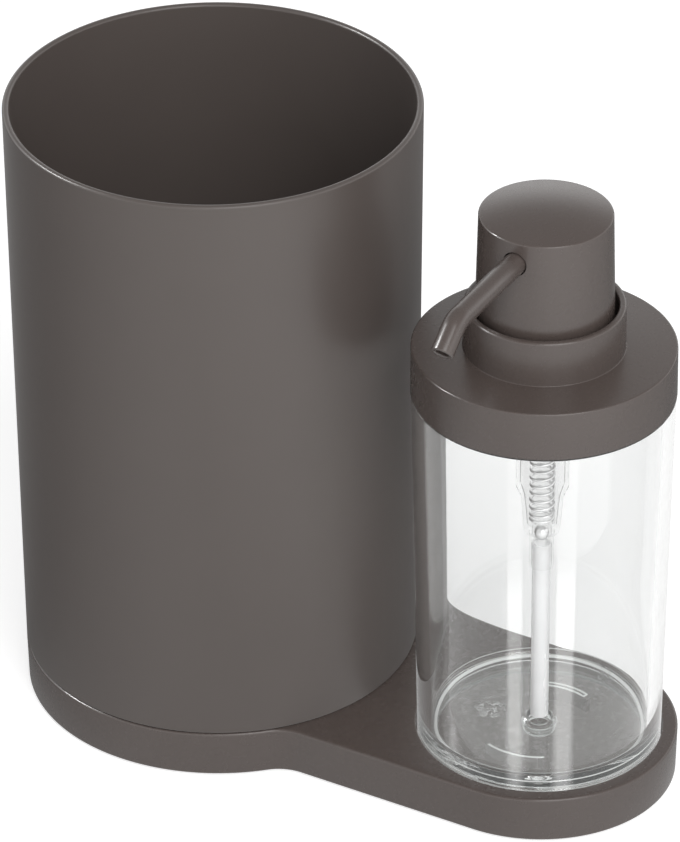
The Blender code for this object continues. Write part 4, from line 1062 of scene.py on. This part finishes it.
def strip_light(tree, place):
    """Two bright bands on the floor, which the bottle's wall mirrors as upright strips."""
    bands = []
    for start, end, strength in STRIPS:
        edges = []
        for turn, sense in ((math.radians(start), 1), (math.radians(end), -1)):
            normal_turn = CAMERA_AZIMUTH + 2 * turn
            away = (sense * math.cos(normal_turn), sense * math.sin(normal_turn), 0)
            shift = sense * BOTTLE_SHOULDER_R * math.sin(turn) - BOTTLE_X * away[0] - AXIS_Y * away[1]
            edges.append(spread(tree, vector_math(tree, "DOT_PRODUCT", place, away), 0.0, strength,
                                -shift - STRIP_SOFT, STRIP_SOFT - shift))
        bands.append(math_node(tree, "MINIMUM", *edges))
    reach = vector_math(tree, "DISTANCE", place, (BOTTLE_X, AXIS_Y, 0))
    fade = spread(tree, reach, 1.0, STRIP_REST, STRIP_NEAR, STRIP_FAR)
    return math_node(tree, "MULTIPLY", math_node(tree, "MAXIMUM", *bands), fade)


def build_floor():
    """White for the camera and through glass. Gloss sees it bright in front and dim at both sides."""
    half = FLOOR_SIZE / 2
    mesh = bpy.data.meshes.new("floor")
    mesh.from_pydata([(-half, -half, 0), (half, -half, 0), (half, half, 0), (-half, half, 0)], [],
                     [(0, 1, 2, 3)])
    floor = bpy.data.objects.new("floor", mesh)
    bpy.context.scene.collection.objects.link(floor)
    material, tree, shader, where = new_material("white_floor")
    path = add(tree, "ShaderNodeLightPath").outputs
    camera, through, mirrored, glossy = (path[f"Is {kind} Ray"] for kind in (
        "Camera", "Transmission", "Singular", "Glossy"))
    seen = math_node(tree, "MAXIMUM", math_node(tree, "MAXIMUM", camera, through), mirrored)

    place = add(tree, "ShaderNodeSeparateXYZ", {"Vector": where}).outputs
    near = add(tree, "ShaderNodeClamp", {"Value": place["X"], "Min": CUP_X, "Max": BOTTLE_X})
    x = math_node(tree, "SUBTRACT", place["X"], near.outputs[0])
    level = add(tree, "ShaderNodeCombineXYZ", {"X": x, "Y": place["Y"]}).outputs["Vector"]
    reach = vector_math(tree, "LENGTH", level)

    lift = math_node(tree, "MULTIPLY", seen, CLEAR_LIFT)
    lift = math_node(tree, "MULTIPLY_ADD", camera, FLOOR_LIFT - CLEAR_LIFT, lift)
    far = spread(tree, reach, 0.0, FAR_LIFT, FAR_START, FAR_END)
    lift = math_node(tree, "MULTIPLY_ADD", camera, far, lift)
    feed(tree, shader, {
        "Base Color": (FLOOR_ALBEDO,) * 3 + (1.0,), "Roughness": 1.0, "Specular IOR Level": 0.0,
        "Emission Color": (1.0,) * 4, "Emission Strength": lift})

    strips = add(tree, "ShaderNodeEmission", {"Strength": strip_light(tree, where)})
    bright = add(tree, "ShaderNodeAddShader", {0: shader.outputs["BSDF"], 1: strips.outputs["Emission"]})
    mixed = mix_shaders(tree, math_node(tree, "SUBTRACT", mirrored, through, clamp=True),
                        shader.outputs["BSDF"], bright.outputs["Shader"])
    glow = add(tree, "ShaderNodeEmission", {
        "Color": greys(tree, lobe(tree, x, place["Y"]), GLOSS_STOPS),
        "Strength": spread(tree, reach, *GLOSS_SHARES, GLOSS_NEAR, GLOSS_FAR)})
    mixed = mix_shaders(tree, math_node(tree, "SUBTRACT", glossy, seen, clamp=True), mixed,
                        glow.outputs["Emission"])
    tree.links.new(mixed, tree.nodes["Material Output"].inputs["Surface"])
    floor.data.materials.append(material)


def build_world():
    """White for the camera and pale in clear glass. Its light is strong at the horizon, dim above."""
    world = bpy.data.worlds.new("studio")
    world.use_nodes = True
    bpy.context.scene.world = world
    tree = world.node_tree
    direction = add(tree, "ShaderNodeTexCoord").outputs["Generated"]
    direction = add(tree, "ShaderNodeSeparateXYZ", {"Vector": direction}).outputs
    off_middle = math_node(tree, "SUBTRACT", lobe(tree, direction["X"], direction["Y"]), LOBE_MIDDLE)
    share = spread(tree, math_node(tree, "MULTIPLY", off_middle, off_middle), WORLD_SIDE, 1.0,
                   0.0, LOBE_MIDDLE ** 2)
    path = add(tree, "ShaderNodeLightPath").outputs
    camera = path["Is Camera Ray"]
    sky = mix_colours(tree, path["Is Glossy Ray"], greys(tree, direction["Z"], MATT_STOPS),
                      greys(tree, direction["Z"], WORLD_STOPS))
    light = mix_colours(tree, 1.0, sky, share, "MULTIPLY")
    plain = spread(tree, camera, CLEAR_SKY, 1.0, 0.0, 1.0)
    seen = math_node(tree, "MAXIMUM", camera, path["Is Singular Ray"])
    tree.links.new(mix_colours(tree, seen, light, plain), tree.nodes["Background"].inputs["Color"])


taupe = moulded_plastic("taupe_plastic", TAUPE, *TAUPE_GLOSS)
# the cup's copy of the taupe is painted lighter, in place of the light its lesser gloss gives up
taupe_matt_lit = moulded_plastic("taupe_matt_lit", CUP_TAUPE_LIT, *CUP_GLOSS)
clear = clear_plastic("clear_plastic", CLEAR, CLEAR_THICK)
milky = milky_plastic("milky_plastic", MILKY, *MILKY_SHARES)
milky_tube = milky_plastic("milky_tube", MILKY_TUBE, *MILKY_TUBE_SHARES)
rubber = soft_rubber("grey_rubber", RUBBER, RUBBER_ROUGH)
seal = soft_rubber("soft_seal", SEAL, SEAL_ROUGH)
steel = spring_steel("spring_steel", STEEL)

build_camera()
build_floor()
build_world()
build_lamp("key", KEY_AZIMUTH, KEY_ELEVATION, KEY_DISTANCE, KEY_SIZE, KEY_POWER)
build_lamp("rim", RIM_AZIMUTH, RIM_ELEVATION, RIM_DISTANCE, RIM_SIZE, RIM_POWER, matt=False)
build_lamp("fill", FILL_AZIMUTH, FILL_ELEVATION, KEY_DISTANCE, KEY_SIZE, FILL_POWER, gloss=False)

build_tray()
build_pads()
build_cup()
build_bottle()
build_lid()
build_housing()
build_dip_tube()
build_spring()
build_head_shell()
build_spout()
finish_frame_nodes()

bpy.context.scene.view_settings.view_transform = "Standard"
bpy.context.view_layer.update()
